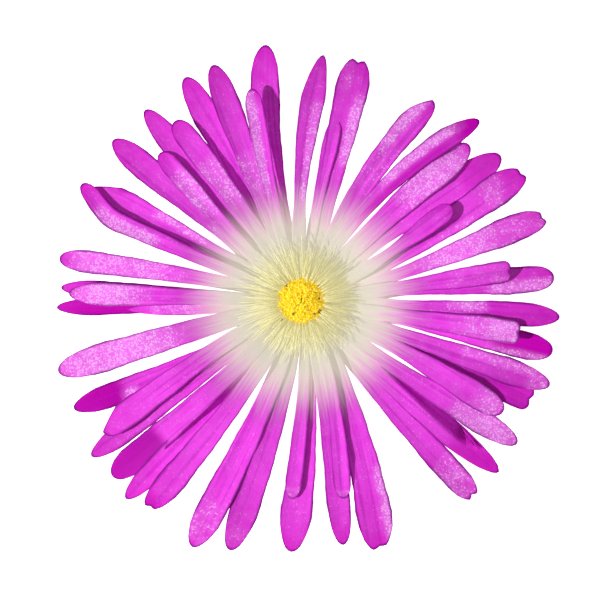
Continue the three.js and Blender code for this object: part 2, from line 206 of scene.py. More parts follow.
# Where a petal's bladder cells glisten, by its number: painted glints and a painted sheen, placed where the
# cells catch the light
GLISTEN = {
    1: [Patch(18.5, 26, 0.85, -1)],
    2: [Patch(14, 21, 0.25), Patch(18.5, 21.5, 0.4, -1)],
    3: [Patch(12, 21, 0.8, fade=4), Patch(20, 26, 0.4)],
    4: [Patch(13, 20, 0.4, -1, edge=0.3), Patch(20.5, 23, 0.5)],
    7: [Patch(14, 22, 0.85, fade=4)],
    8: [Patch(14, 23, 1.0, 1)],
    9: [Patch(12, 18, 0.3), Patch(17, 24, 0.95, 1)],
    10: [Patch(14, 21, 0.9, -1, edge=0.2), Patch(21, 25, 0.3, 1)],
    11: [Patch(11, 18, 0.15)],
    12: [Patch(10, 20, 0.7, -1)],
    14: [Patch(11, 22, 0.95, 1, edge=-0.2)],
    15: [Patch(11, 16, 0.55)],
    17: [Patch(12, 17, 0.75, fade=4)],
    19: [Patch(12, 18, 0.75, fade=4)],
    20: [Patch(10, 14, 0.35)],
    21: [Patch(11, 17, 0.7, -1)],
    23: [Patch(15.5, 22.4, 0.95, 1, 2.4, -0.45)],
    24: [Patch(12.5, 23.5, 0.75, fade=4)],
    26: [Patch(16, 22.5, 0.95, fade=5)],
    27: [Patch(10.5, 15.5, 0.6)],
    28: [Patch(10.5, 15.5, 0.6)],
    29: [Patch(13, 25, 0.9, fade=5)],
    30: [Patch(18.6, 20.3, 0.9, 1, 0.8)],
    31: [Patch(12, 22, 0.15)],
    32: [Patch(14, 24, 0.2)],
    36: [Patch(21.5, 27, 0.4, fade=4)],
    37: [Patch(23, 26, 0.3)],
    39: [Patch(18.7, 20, 0.5, fade=0.6)],
    41: [Patch(19.3, 20.4, 0.5, fade=0.6)],
    42: [Patch(18, 25.5, 1.0, 1, edge=0.45)],
    43: [Patch(21, 26, 0.5)],
    45: [Patch(18.5, 26, 0.9, fade=3.5)],
    46: [Patch(20, 23, 0.8, fade=3.5)],
    48: [Patch(16, 26, 0.5, 1), Patch(24, 26.5, 0.6)],
    49: [Patch(19, 25.5, 0.9, -1, edge=0.5)],
    50: [Patch(15, 19, 0.5), Patch(18, 22.3, 0.95)],
    51: [Patch(14.8, 18.0, 0.95, 1, 2.2, -0.1)],
}

# Where a petal is deep magenta, by its number: partly its own darker colour, partly painted shade on tips and
# margins that lie in shade
DEEP_AND_SHADE = {
    6: [Patch(20, 26, 0.4)],
    8: [Patch(9, 22, 0.7, -1), Patch(22.5, 27, 1.0)],
    25: [Patch(12, 26, 0.35)],
    27: [Patch(14, 27, 1.0)],
    30: [Patch(20, 27, 1.0, fade=1.2)],
    33: [Patch(19.6, 28, 1.0, fade=1.2)],
    35: [Patch(24.5, 28, 0.8, fade=1.5)],
    44: [Patch(20.5, 27, 0.7)],
    47: [Patch(17, 27, 0.6)],
    49: [Patch(19.5, 27, 1.0, fade=1.5)],
    51: [Patch(18, 27, 0.5)],
}

# Where purple runs in from a petal's rim, by its number: partly the petal's own purple, partly painted shade
# on margins and strips that lie in shade
PURPLE_AND_SHADE = {
    8: [Patch(20.5, 25.3, 0.55, 1, 2.0, 0.75)],
    21: [Patch(20.6, 24, 0.9, -1, 0.8, 0.75)],
    30: [Patch(13, 19.8, 0.5, 1, 2.0, 0.8)],
    33: [Patch(19.8, 28, 0.35, fade=1.2)],
}


class Pleat(NamedTuple):
    """A petal's anticlockwise margin that hangs lower behind a crease, from one radius to another.

    The crease starts at a share of the half width and runs in to the middle. Slant is how much further out
    the pleat ends at the edge, and the drop is given in millimetres at both ends."""

    start: float
    end: float
    crease: float
    slant: float
    drop_start: float
    drop_end: float


PLEATS = {44: Pleat(10, 21.7, 0.85, 0.9, 0.45, 1.5)}
# Petals whose blade twists towards its tip: how much higher the anticlockwise edge lies there, as a slope
TWISTS = {2: 1.2, 5: 0.15}

# Each sepal: azimuth, reach from the axis, width and thickness
SEPALS = [
    (44, 8.3, 2.7, 1.5),
    (117, 7.5, 3.1, 1.3),
    (196, 8.4, 2.6, 1.5),
    (253, 7.4, 3.1, 1.3),
    (335, 7.9, 3.0, 1.3),
]
SEPAL_ROOT_RADIUS = 2.6
SEPAL_ROOT_HEIGHT = 4.3
SEPAL_TIP_HEIGHT = 5.9
SEPAL_NARROWING = 0.45
SEPAL_THINNING = 0.3
SEPAL_STATIONS = 22
SEPAL_SIDES = 18
SEPAL_FLATNESS = 0.75
SEPAL_BLUNTNESS = 5


# The blades' surfaces, in millimetres

PETAL_SEED = 11
ROWS = 58
COLUMNS = 16
TIP_CROWDING = 1.5
STEP_AHEAD = 0.1
NOTCH_NARROWNESS = 2.5
PATCH_SOFTNESS = 0.3
CREASE_COLUMN = 9
CREASE_WIDTH = 0.06
PLEAT_OPENS_IN = 2
PLEAT_CLOSES_IN = 1.2
WAIST_RADII = (7, 11)
# Waves of a blade's width: share of the width, turn per millimetre, and how far the sides are apart
WAVERS = [(0.025, 1.3, 0), (0.014, 4.3, 2)]
WAVER_RADII = (9, 14)
# Waves of a blade's height: turn per millimetre of the whole blade and of its rocking from side to side
RIPPLE_PACES = (0.9, 1.9)
RIPPLE_ROCKING = 0.6
RIPPLE_RADII = (9, 15)
# Furrows along a blade: place across it, depth and breadth
FURROWS = [(0, 1, 0.1), (-0.48, 0.6, 0.09), (0.45, 0.6, 0.09)]
FURROW_RADII = (8, 13)
FURROW_STOPS = (0.2, 2.5)
BLADE_THINNING = 0.35
END_BLUNTNESS = 12
# The petals' map: its width per millimetre across a blade, the length that fills it and the tube's place
GRAIN_WIDTH = 0.0056
GRAIN_LENGTH = 60
TUBE_GRAIN = 0.98


# The petals' finish: radii in millimetres between which a colour comes in, and strengths as shares

# Radii of the claws' painted glow: its inner cream end here, and where it fades out below
INNER_GLOW_RADII = (4.0, 6.8)
WASH_RADII = (6.4, 10.6)
GLOW_RADII = (7.2, 12.4)
BODY_RADII = (8.4, 14.0)
TIP_RADII = (17.0, 26.0)
TIP_SHARE = 0.8
RAGGED_BY = 5.0
# Grain of the streaks and the veins across and along a blade
STREAK_GRAIN = (900, 12)
STREAK_SHIFT = 0.55
VEIN_GRAIN = (330, 2.2, 1.0)
VEIN_RANGE = (0.36, 0.47)
VEIN_SHARE = 0.55
BLADE_SHIFT = 0.16
RIM_RADII = (15, 24)
# Where the rim's line begins to fade and where it ends, and its strength: near the claw and what the tip adds
RIM_WIDTHS = [(0.05, 0.05), (0.2, 0.14)]
RIM_STRENGTHS = (0.7, 0.3)
RIM_SHARE = 0.9
TIP_SHADE = 0.4
TIP_SHADE_FADE = (0.2, 2.2)
# A faint painted sheen over every blade beyond the claw, and the radii where it comes in
FAINT_GLISTEN = 0.15
FAINT_RADII = (10, 13)
PATCH_GRAIN = 900.0
PATCH_WOBBLE = 2.6
# Shares of the painted sheen and the painted glints in the petals' colour
PAINTED_SHEEN_SHARE = 0.64
GLINT_SHARE = 0.76
# Bladder cells per metre
PETAL_CELLS = 6000.0
CALYX_CELLS = 4200.0
CELL_DOME = (0.1, 0.75)
CELL_LUCK = (0.95, 1.6)


# The other pieces: lengths in millimetres, turns in radians, other values as shares

RING_TONE = 0.4
THREAD_RADII = (2.6, 6.4)
THREAD_ROOT_HEIGHT = 7.8
THREAD_SWAY = 0.025
THREAD_ROLL = 0.03
THREAD_PITCH = 0.02
THREAD_RISE = 0.02
THREAD_STRAY = 0.4
THREAD_THINNING = 0.75
ANTHER_RISE = 0.22
ANTHER_SCATTER = 0.09
ANTHER_TURNS = (1.3, 1.3, 3.1)
ANTHER_SIZES = (0.8, 1.15)
ANTHER_WAIST = 0.68
# Tones of the few anthers painted dark as shade
SHADOWED_TONES = (0.012, 0.03)
FILAMENT_RADIUS = 0.06
FILAMENT_ROOT_RADIUS = 1.1
FILAMENT_ROOT_SPREAD = 0.5
# A stigma's bend: radius and height of its root, its two handles and its tip
AWL_BEND = [(0.38, 6.6), (0.36, 7.6), (0.4, 8.6), (0.64, 9.2)]
BLUSH_RADII = (6.6, 9.4)
BREAK_HEIGHTS = (0.2, 0.5)
CELL_SIZES = (0.6, 1.25)
CELL_FLATNESS = 0.75
CELLS_FROM_HEIGHT = 0.4
CELLS_BELOW_SLOPE = 0.6
FLOOR_HEIGHT = -0.02
CAMERA_X = -0.2
CAMERA_Y = 0.1
SIGHT_HEIGHT = 8.5
BLACK = (0, 0, 0)
WHITE = (1, 1, 1)
# Distance between two columns and two rows of a laid out tree
COLUMN_WIDTH = 240
ROW_HEIGHT = 260


class Whorl(NamedTuple):
    """A whorl of threads: where round the axis it starts, and where its threads root, bend and end."""

    phase: float
    root: float
    shoulder: float
    shoulder_height: float
    tip: float
    tip_height: float


WHORLS = [
    Whorl(0.0, 2.05, 2.5, 10.8, 3.9, 10.5),
    Whorl(0.33, 2.15, 2.8, 10.6, 4.5, 9.9),
    Whorl(0.66, 2.25, 3.1, 10.2, 4.9, 9.5),
    Whorl(0.2, 2.4, 3.4, 9.9, 5.3, 9.3),
    Whorl(0.5, 2.5, 3.8, 9.6, 6.2, 9.1),
]


# Settings


def size(name, description, default):
    """A length setting, given in millimetres and held in metres."""
    return FloatProperty(
        name=name, description=description, default=default * MM, min=0, subtype="DISTANCE", unit="LENGTH",
        precision=5,
    )


def colour(name, description, default):
    return FloatVectorProperty(
        name=name, description=description, default=default, min=0, max=1, size=3, subtype="COLOR"
    )


def share(name, description, default):
    return FloatProperty(name=name, description=description, default=default, min=0, max=1, subtype="FACTOR")


def count(name, description, default):
    return IntProperty(name=name, description=description, default=default, min=1)


class CalyxSettings(bpy.types.PropertyGroup):
    flesh: colour("Flesh", "Green of the ovary and sepals", paint(112, 146, 66))
    blush: colour("Blush", "Tint of the sepals' tips", paint(168, 84, 84))
    break_face: colour("Break", "Colour of the broken foot", paint(206, 198, 150))
    gleam: colour("Gleam", "Light on the bladder cells", (0.75, 0.85, 0.6))
    detail: size("Detail", "Grain of the surface that joins ovary and sepals", 0.17)
    papilla: size("Papilla", "Radius of the bladder cells that stand out", 0.11)
    papilla_gap: size("Papilla gap", "Least distance between two bladder cells", 0.4)


class PetalSettings(bpy.types.PropertyGroup):
    body: colour("Body", "Magenta of the petals' blades", paint(217, 54, 210))
    tip: colour("Tip", "Darker magenta towards the petals' ends", paint(194, 24, 182))
    claw: colour("Claw", "White of the petals' claws", paint(134, 129, 119))
    wash: colour("Wash", "Pink between claw and blade", paint(176, 98, 164))
    # Painted glow: the claws give off light of their own in these colours, standing in for light shining
    # through them and lifting their shade
    glow: colour("Glow", "Light that shines through the white claws", paint(228, 220, 204))
    cream: colour("Cream", "Light that shines through the claws' inner ends", paint(224, 217, 172))
    # Deep magenta, both the darkest tips' own colour and painted shade
    deep: colour("Deep", "Magenta of the darkest tips", paint(180, 0, 164))
    rim: colour("Rim", "Purple line round each blade", paint(104, 0, 110))
    vein: colour("Vein", "Magenta of the lengthwise veins", paint(176, 4, 172))
    # Painted sheen and painted glints: pale pinks mixed into the blades' colour where cells glisten
    haze: colour("Haze", "Pink of the patches where cells glisten", paint(226, 134, 228))
    glint: colour("Glint", "Palest pink of the glistening cells", paint(244, 200, 246))
    thickness: size("Thickness", "Thickness along the middle of a blade", 0.28)
    vein_depth: size("Vein depth", "Depth of the lengthwise furrows", 0.035)
    ripple: size("Ripple", "Height of the slow waves along a blade", 0.045)


class StaminodeSettings(bpy.types.PropertyGroup):
    threads: count("Threads", "Threads in each whorl", 120)
    width: size("Width", "Width of a thread near its root", 0.19)
    unevenness: share("Unevenness", "How much the threads differ in length", 0.09)
    lopsided: share("Lopsided", "How much longer the threads are on the left", 0.07)
    inner: colour("Inner", "Cream of the threads near the anthers", paint(172, 166, 122))
    outer: colour("Outer", "White of the threads' outer ends", paint(176, 173, 136))


class StamenSettings(bpy.types.PropertyGroup):
    anthers: count("Anthers", "Number of anthers", 300)
    cushion: size("Cushion", "Radius of the cushion of anthers", 2.35)
    length: size("Length", "Length of an anther", 0.42)
    width: size("Width", "Width of an anther", 0.27)
    pollen: colour("Pollen", "Bright yellow of the ripe anthers", paint(227, 198, 28))
    shade: colour("Shade", "Deep yellow of the younger anthers", paint(214, 183, 14))
    # Painted shade: a few anthers dark brown, where shadowed gaps between anthers show dark
    spent: colour("Spent", "Brown of a few spent anthers", paint(120, 92, 20))
    filament: colour("Filament", "Pale yellow of the filaments", paint(236, 220, 120))


class StigmaSettings(bpy.types.PropertyGroup):
    awls: count("Awls", "Number of stigmas", 5)
    flesh: colour("Flesh", "Greenish yellow of the stigmas", paint(190, 194, 96))


class StageSettings(bpy.types.PropertyGroup):
    floor_width: FloatProperty(
        name="Floor width", description="Width of the floor", default=3, subtype="DISTANCE", unit="LENGTH"
    )
    floor: colour("Floor", "White of the floor", paint(245, 245, 245))
    floor_glow: FloatProperty(name="Floor glow", description="Light the floor gives off", default=1.0, min=0)
    key: FloatProperty(name="Key", description="Strength of the main light", default=3.8, min=0)
    key_azimuth: FloatProperty(
        name="Key azimuth", description="Where the main light stands", default=np.radians(196),
        subtype="ANGLE",
    )
    key_elevation: FloatProperty(
        name="Key elevation", description="How high the main light stands", default=np.radians(40),
        subtype="ANGLE",
    )
    key_softness: FloatProperty(
        name="Key softness", description="How wide the main light looks", default=np.radians(3),
        subtype="ANGLE",
    )
    sky: FloatProperty(name="Sky", description="Strength of the even light", default=0.35, min=0)
    lens: FloatProperty(name="Lens", description="Focal length in millimetres", default=180, min=1)
    distance: FloatProperty(
        name="Distance", description="From the camera to the petals", default=0.3, subtype="DISTANCE",
        unit="LENGTH",
    )


# Node trees


class Bench:
    """Places nodes in one tree and wires them up. A socket takes a value or another node's output."""

    def __init__(self, tree):
        self.tree = tree

    def fill(self, socket, value):
        """Links an output to a socket or sets a plain value on it. A colour gets its alpha."""
        if isinstance(value, bpy.types.NodeSocket):
            self.tree.links.new(value, socket)
        elif socket.type == "RGBA" and len(value) == 3:
            socket.default_value = (*value, 1)
        else:
            socket.default_value = value

    def place(self, kind, sockets=None, **settings):
        """Places a node and fills its sockets, named by identifier or label."""
        node = self.tree.nodes.new(kind)
        for name, value in settings.items():
            setattr(node, name, value)
        for name, value in (sockets or {}).items():
            socket = next(socket for socket in node.inputs if name in (socket.identifier, socket.name))
            self.fill(socket, value)
        return node

    def out(self, kind, sockets=None, output=0, **settings):
        """Places a node and gives one of its outputs."""
        return self.place(kind, sockets, **settings).outputs[output]

    def math(self, operation, *values, clamp=False):
        sockets = dict(zip(("Value", "Value_001", "Value_002"), values))
        return self.out("ShaderNodeMath", sockets, operation=operation, use_clamp=clamp)

    def between(self, value, low, high, start=0.0, end=1.0):
        """Carries a value from the range low to high over to start to end, smoothly and held at the ends."""
        sockets = {"Value": value, "From Min": low, "From Max": high, "To Min": start, "To Max": end}
        return self.out("ShaderNodeMapRange", sockets, interpolation_type="SMOOTHSTEP")

    def mix(self, factor, first, second):
        sockets = {"Factor_Float": factor, "A_Color": first, "B_Color": second}
        return self.out("ShaderNodeMix", sockets, 2, data_type="RGBA")

    def vector(self, x=0.0, y=0.0, z=0.0):
        return self.out("ShaderNodeCombineXYZ", {"X": x, "Y": y, "Z": z})

    def split(self, vector):
        return self.place("ShaderNodeSeparateXYZ", {"Vector": vector}).outputs

    def vector_math(self, operation, first, second=(0, 0, 0)):
        sockets = {"Vector": first, "Vector_001": second}
        return self.out("ShaderNodeVectorMath", sockets, operation=operation)

    def length(self, vector):
        return self.out("ShaderNodeVectorMath", {"Vector": vector}, "Value", operation="LENGTH")

    def scaled(self, vector, factor):
        return self.out("ShaderNodeVectorMath", {"Vector": vector, "Scale": factor}, operation="SCALE")

    def noise(self, place, scale, detail, roughness=0.5, output="Fac"):
        sockets = {"Vector": place, "Scale": scale, "Detail": detail, "Roughness": roughness}
        return self.out("ShaderNodeTexNoise", sockets, output)

    def group(self, name, **sockets):
        """Places a node group and gives its outputs. Blanks in a socket's name are given as underscores."""
        tree = bpy.data.node_groups[name]
        kind = "ShaderNodeGroup" if tree.bl_idname == "ShaderNodeTree" else "GeometryNodeGroup"
        named = {label.replace("_", " "): value for label, value in sockets.items()}
        return self.place(kind, named, node_tree=tree).outputs

    # For materials

    def object_place(self):
        return self.out("ShaderNodeTexCoord", output="Object")

    def radius(self, place):
        """Distance from the flower's axis in millimetres."""
        return self.length(self.vector_math("MULTIPLY", place, (1 / MM, 1 / MM, 0)))

    def attribute(self, name):
        return self.out("ShaderNodeAttribute", output="Fac", attribute_name=name)

    def cells(self, place, scale):
        return self.place("ShaderNodeTexVoronoi", {"Vector": place, "Scale": scale}).outputs

    def bump(self, strength, depth, height):
        """A bump as deep as is given in millimetres."""
        sockets = {"Strength": strength, "Distance": depth * MM, "Height": height}
        return self.out("ShaderNodeBump", sockets)

    def shifted(self, colour_now, tone, amount):
        return self.group("Tone Shift", Color=colour_now, Tone=tone, Amount=amount)[0]

    # For geometry

    def random(self, low, high, seed, step=0):
        """A random number, or a random vector where both ends are vectors."""
        is_vector = isinstance(low, tuple)
        first, last, result = ("Min", "Max", "Value") if is_vector else ("Min_001", "Max_001", "Value_001")
        node = self.place(
            "FunctionNodeRandomValue", {first: low, last: high, "Seed": self.math("ADD", seed, step)},
            data_type="FLOAT_VECTOR" if is_vector else "FLOAT",
        )
        return next(socket for socket in node.outputs if socket.identifier == result)

    def spread_round(self, index, total, phase=0.0):
        """Azimuth of one of many things set evenly round the axis."""
        return self.math("MULTIPLY", self.math("DIVIDE", self.math("ADD", index, phase), total), 2 * np.pi)

    def about_axis(self, radius, azimuth, height):
        """The point at a radius, an azimuth and a height."""
        x, y = (self.math("MULTIPLY", radius, self.math(turn, azimuth)) for turn in ("COSINE", "SINE"))
        return self.vector(x, y, height)

    def points(self, number, place=(0, 0, 0)):
        return self.out("GeometryNodePoints", {"Count": number, "Position": place})

    def rotation(self, turn):
        return self.out("FunctionNodeEulerToRotation", {"Euler": turn})

    def stand(self, points, instance, rotation, scale=(1, 1, 1)):
        """One instance on each point."""
        sockets = {"Points": points, "Instance": instance, "Rotation": rotation, "Scale": scale}
        return self.out("GeometryNodeInstanceOnPoints", sockets)

    def store(self, geometry, name, value, domain="INSTANCE"):
        sockets = {"Geometry": geometry, "Name": name, "Value": value}
        return self.out("GeometryNodeStoreNamedAttribute", sockets, data_type="FLOAT", domain=domain)

    def bend(self, resolution, start, start_handle, end_handle, end):
        sockets = {
            "Resolution": resolution, "Start": start, "Start Handle": start_handle,
            "End Handle": end_handle, "End": end,
        }
        return self.out("GeometryNodeCurvePrimitiveBezierSegment", sockets)

    def tube(self, curve, sides, radius, scale=1.0):
        """A closed tube along a curve."""
        profile = self.out("GeometryNodeCurvePrimitiveCircle", {"Resolution": sides, "Radius": radius})
        sockets = {"Curve": curve, "Profile Curve": profile, "Scale": scale, "Fill Caps": True}
        return self.out("GeometryNodeCurveToMesh", sockets)

    def ball(self, segments, rings, radius):
        sockets = {"Segments": segments, "Rings": rings, "Radius": radius}
        return self.out("GeometryNodeMeshUVSphere", sockets)

    def join(self, *parts):
        joined = self.place("GeometryNodeJoinGeometry")
        for part in parts:
            self.tree.links.new(part, joined.inputs[0])
        return joined.outputs[0]

    def end_group(self, outputs, **results):
        """Links a group's results to its outputs and lays it out."""
        for name, result in results.items():
            self.tree.links.new(result, outputs[name])
        self.lay_out()
        return self.tree

    def lay_out(self):
        """Stands the nodes in columns, by how far each is from the end of the tree."""
        column = {node: 0 for node in self.tree.nodes}
        for _ in self.tree.nodes:
            for link in self.tree.links:
                column[link.from_node] = max(column[link.from_node], column[link.to_node] + 1)
        rows = {}
        for node, place in column.items():
            rows[place] = rows.get(place, -1) + 1
            node.location = (-COLUMN_WIDTH * place, -ROW_HEIGHT * rows[place])


def new_group(name, kind, inputs, outputs):
    """A node group. Each socket has its default, or the name of its type where it has none."""
    tree = bpy.data.node_groups.new(name, kind)
    for direction, sockets in (("INPUT", inputs), ("OUTPUT", outputs)):
        for label, default in sockets.items():
            kind_name = default if isinstance(default, str) else type(default).__name__.title()
            socket = tree.interface.new_socket(
                label, in_out=direction, socket_type="NodeSocket" + kind_name
            )
            if kind_name != default:
                socket.default_value = default
    return Bench(tree), tree.nodes.new("NodeGroupInput").outputs, tree.nodes.new("NodeGroupOutput").inputs


# Finishes shared by more than one material


def cell_glints():
    """Bladder cells lit or not one by one, as a mask for painted glints, with each cell's dome as a height.
    """
    bench, inputs, outputs = new_group(
        "Cell Glints", "ShaderNodeTree",
        {"Vector": "Vector", "Amount": 0.5, "Cells per Metre": 7000.0},
        {"Glint": "Float", "Height": "Float"},
    )
    cells = bench.cells(inputs["Vector"], inputs["Cells per Metre"])
    luck = bench.out("ShaderNodeSeparateColor", {"Color": cells["Color"]}, "Red")
    dome = bench.between(cells["Distance"], *CELL_DOME, 1, 0)
    lit = bench.between(bench.math("ADD", luck, inputs["Amount"]), *CELL_LUCK)
    bench.end_group(outputs, Glint=bench.math("MULTIPLY", lit, dome), Height=dome)


def tone_shift():
    """Makes a colour lighter or darker from place to place."""
    bench, inputs, outputs = new_group(
        "Tone Shift", "ShaderNodeTree", {"Color": "Color", "Tone": 0.5, "Amount": 0.2}, {"Color": "Color"}
    )
    offset = bench.math("SUBTRACT", inputs["Tone"], 0.5)
    factor = bench.math("MULTIPLY_ADD", offset, inputs["Amount"], 1.0)
    bench.end_group(outputs, Color=bench.scaled(inputs["Color"], factor))


# Materials


def new_material(name):
    """An empty material: its bench and its surface shader."""
    material = bpy.data.materials.new(name)
    material.use_nodes = True
    material.node_tree.nodes.clear()
    bench = Bench(material.node_tree)
    shader = bench.place("ShaderNodeBsdfPrincipled")
    bench.place("ShaderNodeOutputMaterial", {"Surface": shader.outputs[0]})
    return material, bench, shader


def wire(bench, shader, **sockets):
    """Fills the shader's sockets and lays the tree out."""
    for name, value in sockets.items():
        bench.fill(shader.inputs[name.replace("_", " ")], value)
    bench.lay_out()


def streak_noise(bench, grain, across, along, detail=3.0):
    """Noise drawn out along a petal."""
    stretched = bench.out("ShaderNodeMapping", {"Vector": grain, "Scale": (across, along, 1)})
    return bench.noise(stretched, scale=1.0, detail=detail, roughness=0.6)


def petal_satin(settings):
    """Satin magenta that washes out to white at the claw, with painted glints and sheen where cells glisten
    in patches, deep patches that are partly painted shade, and a painted glow at the claw.
    """
    material, bench, shader = new_material("Petal Satin")
    place = bench.object_place()
    radius = bench.radius(place)
    grain = bench.out("ShaderNodeUVMap", output="UV", uv_map="PetalMap")
    streaks = streak_noise(bench, grain, *STREAK_GRAIN)
    ragged = bench.math("MULTIPLY_ADD", bench.math("SUBTRACT", streaks, 0.5), RAGGED_BY, radius)
    to_body = bench.between(ragged, *BODY_RADII)
    colour_now = bench.mix(bench.between(ragged, *WASH_RADII), settings.claw, settings.wash)
    colour_now = bench.mix(to_body, colour_now, settings.body)
    colour_now = bench.mix(bench.between(ragged, *TIP_RADII, 0, TIP_SHARE), colour_now, settings.tip)
    # Deep magenta, partly the petal's own colour and partly painted shade
    colour_now = bench.mix(bench.attribute("deep"), colour_now, settings.deep)
    veins = bench.between(streak_noise(bench, grain, *VEIN_GRAIN), *VEIN_RANGE, 1, 0)
    veins = bench.math("MULTIPLY", veins, bench.math("MULTIPLY", to_body, VEIN_SHARE))
    colour_now = bench.mix(veins, colour_now, settings.vein)
    colour_now = bench.shifted(colour_now, bench.attribute("tone"), BLADE_SHIFT)
    colour_now = bench.shifted(colour_now, streaks, STREAK_SHIFT)

    # Painted sheen and glints: where the glisten attribute says, the colour turns paler pink and single cells
    # near white
    patches = bench.noise(place, scale=PATCH_GRAIN, detail=2.0, roughness=0.6)
    patches = bench.math("SUBTRACT", patches, 0.5)
    glisten = bench.attribute("glisten")
    wobble = bench.math("MULTIPLY", patches, bench.math("MINIMUM", glisten, 0.5))
    amount = bench.math("MULTIPLY_ADD", wobble, PATCH_WOBBLE, glisten, clamp=True)
    glints = bench.group("Cell Glints", Vector=place, Amount=amount, Cells_per_Metre=PETAL_CELLS)
    colour_now = bench.mix(bench.math("MULTIPLY", amount, PAINTED_SHEEN_SHARE), colour_now, settings.haze)
    shine = bench.math("MULTIPLY", glints["Glint"], GLINT_SHARE)
    colour_now = bench.mix(shine, colour_now, settings.glint)
    # The rim's purple line, with purple patches that are partly painted shade
    edge = bench.math("MULTIPLY", bench.attribute("edge"), bench.math("MULTIPLY", to_body, RIM_SHARE))
    colour_now = bench.mix(edge, colour_now, settings.rim)

    # Painted glow: the claws give off light in cream and white, fading out onto the blade
    glow = bench.mix(bench.between(radius, *INNER_GLOW_RADII), settings.cream, settings.glow)
    height = bench.math("MULTIPLY_ADD", streaks, 1.5, glints["Height"])
    wire(
        bench, shader, Base_Color=colour_now, Roughness=bench.between(shine, 0.0, 0.8, 0.55, 0.35),
        Normal=bench.bump(0.3, 0.03, height), Specular_IOR_Level=0.05, Subsurface_Weight=0.12,
        Subsurface_Radius=(1.0, 0.3, 0.9), Subsurface_Scale=0.0004,
        Emission_Color=bench.mix(bench.between(ragged, *GLOW_RADII), glow, BLACK), Emission_Strength=0.62,
    )
    return material


def thread_silk(settings):
    """Cream threads that pale outwards, each a little different, with a painted glow in their own colour that
    lifts their shade.
    """
    material, bench, shader = new_material("Thread Silk")
    place = bench.object_place()
    colour_now = bench.mix(bench.between(bench.radius(place), *THREAD_RADII), settings.inner, settings.outer)
    colour_now = bench.shifted(colour_now, bench.attribute("tone"), 0.16)
    mottle = bench.noise(place, scale=5000.0, detail=2.0)
    colour_now = bench.shifted(colour_now, mottle, 0.15)
    # The threads give off a painted glow in their own colour, which lifts their shade
    wire(
        bench, shader, Base_Color=colour_now, Roughness=bench.between(mottle, 0.3, 0.7, 0.5, 0.65),
        Normal=bench.bump(0.3, 0.02, mottle), Specular_IOR_Level=0.3, Subsurface_Weight=0.5,
        Subsurface_Radius=(1.0, 0.9, 0.6), Subsurface_Scale=0.0007, Emission_Color=colour_now,
        Emission_Strength=0.74,
    )
    return material


def pollen_grain(settings):
    """Powdery yellow anthers on paler filaments, a few painted dark as shade, all with a painted glow that
    lifts their shade.
    """
    material, bench, shader = new_material("Pollen Grain")
    tone = bench.attribute("tone")
    grains = bench.cells(bench.object_place(), 14000.0)["Distance"]
    colour_now = bench.mix(tone, settings.shade, settings.pollen)
    # Painted shade: a few anthers turn dark brown
    colour_now = bench.mix(bench.between(tone, *SHADOWED_TONES, 1, 0), colour_now, settings.spent)
    colour_now = bench.shifted(colour_now, grains, -0.25)
    colour_now = bench.mix(bench.attribute("thread"), colour_now, settings.filament)
    # The anthers give off a painted glow in their own colour, which lifts their shade
    wire(
        bench, shader, Base_Color=colour_now, Roughness=bench.between(grains, 0, 0.8, 0.75, 0.9),
        Normal=bench.bump(0.7, 0.03, bench.math("SUBTRACT", 1.0, grains)), Subsurface_Weight=0.2,
        Subsurface_Radius=(1.0, 0.9, 0.3), Subsurface_Scale=0.0004, Emission_Color=colour_now,
        Emission_Strength=0.4,
    )
    return material


def stigma_flesh(settings):
    """Greenish yellow flesh, velvety along the awls."""
    material, bench, shader = new_material("Stigma Flesh")
    velvet = bench.cells(bench.object_place(), 16000.0)["Distance"]
    wire(
        bench, shader, Base_Color=bench.shifted(settings.flesh, velvet, -0.35),
        Roughness=bench.between(velvet, 0, 0.8, 0.5, 0.7), Normal=bench.bump(0.5, 0.02, velvet),
    )
    return material


def calyx_flesh(settings):
    """Watery green flesh with clear bladder cells in painted glints, blushed at the tips, pale and dry at the
    break.
    """
    material, bench, shader = new_material("Calyx Flesh")
    place = bench.object_place()
    mottle = bench.noise(place, scale=700.0, detail=4.0, roughness=0.6)
    colour_now = bench.shifted(settings.flesh, mottle, 0.9)
    outwards = bench.math("MULTIPLY_ADD", mottle, 2.0, bench.radius(place))
    colour_now = bench.mix(bench.between(outwards, *BLUSH_RADII, 0, 0.75), colour_now, settings.blush)
    upwards = bench.math("MULTIPLY_ADD", mottle, 0.4 * MM, bench.split(place)["Z"])
    dry = bench.between(upwards, *(height * MM for height in BREAK_HEIGHTS), 1, 0)
    colour_now = bench.mix(dry, colour_now, settings.break_face)
    # Painted glints: bladder cells lit one by one in a pale gleam mixed into the colour
    glints = bench.group("Cell Glints", Vector=place, Amount=0.45, Cells_per_Metre=CALYX_CELLS)
    colour_now = bench.mix(bench.math("MULTIPLY", glints["Glint"], 0.3), colour_now, settings.gleam)
    wire(
        bench, shader, Base_Color=colour_now, Roughness=bench.between(glints["Height"], 0, 1, 0.5, 0.3),
        Normal=bench.bump(0.5, 0.06, glints["Height"]),
    )
    return material


# Meshes


def new_piece(name, vertices, faces, material=None):
    """A smooth mesh object in metres from vertices in millimetres."""
    mesh = bpy.data.meshes.new(name)
    mesh.from_pydata((np.asarray(vertices) * MM).tolist(), [], [list(map(int, face)) for face in faces])
    mesh.shade_smooth()
    if material:
        mesh.materials.append(material)
    piece = bpy.data.objects.new(name, mesh)
    bpy.context.scene.collection.objects.link(piece)
    return piece


def add_attribute(piece, name, values):
    piece.data.attributes.new(name, "FLOAT", "POINT").data.foreach_set("value", values)


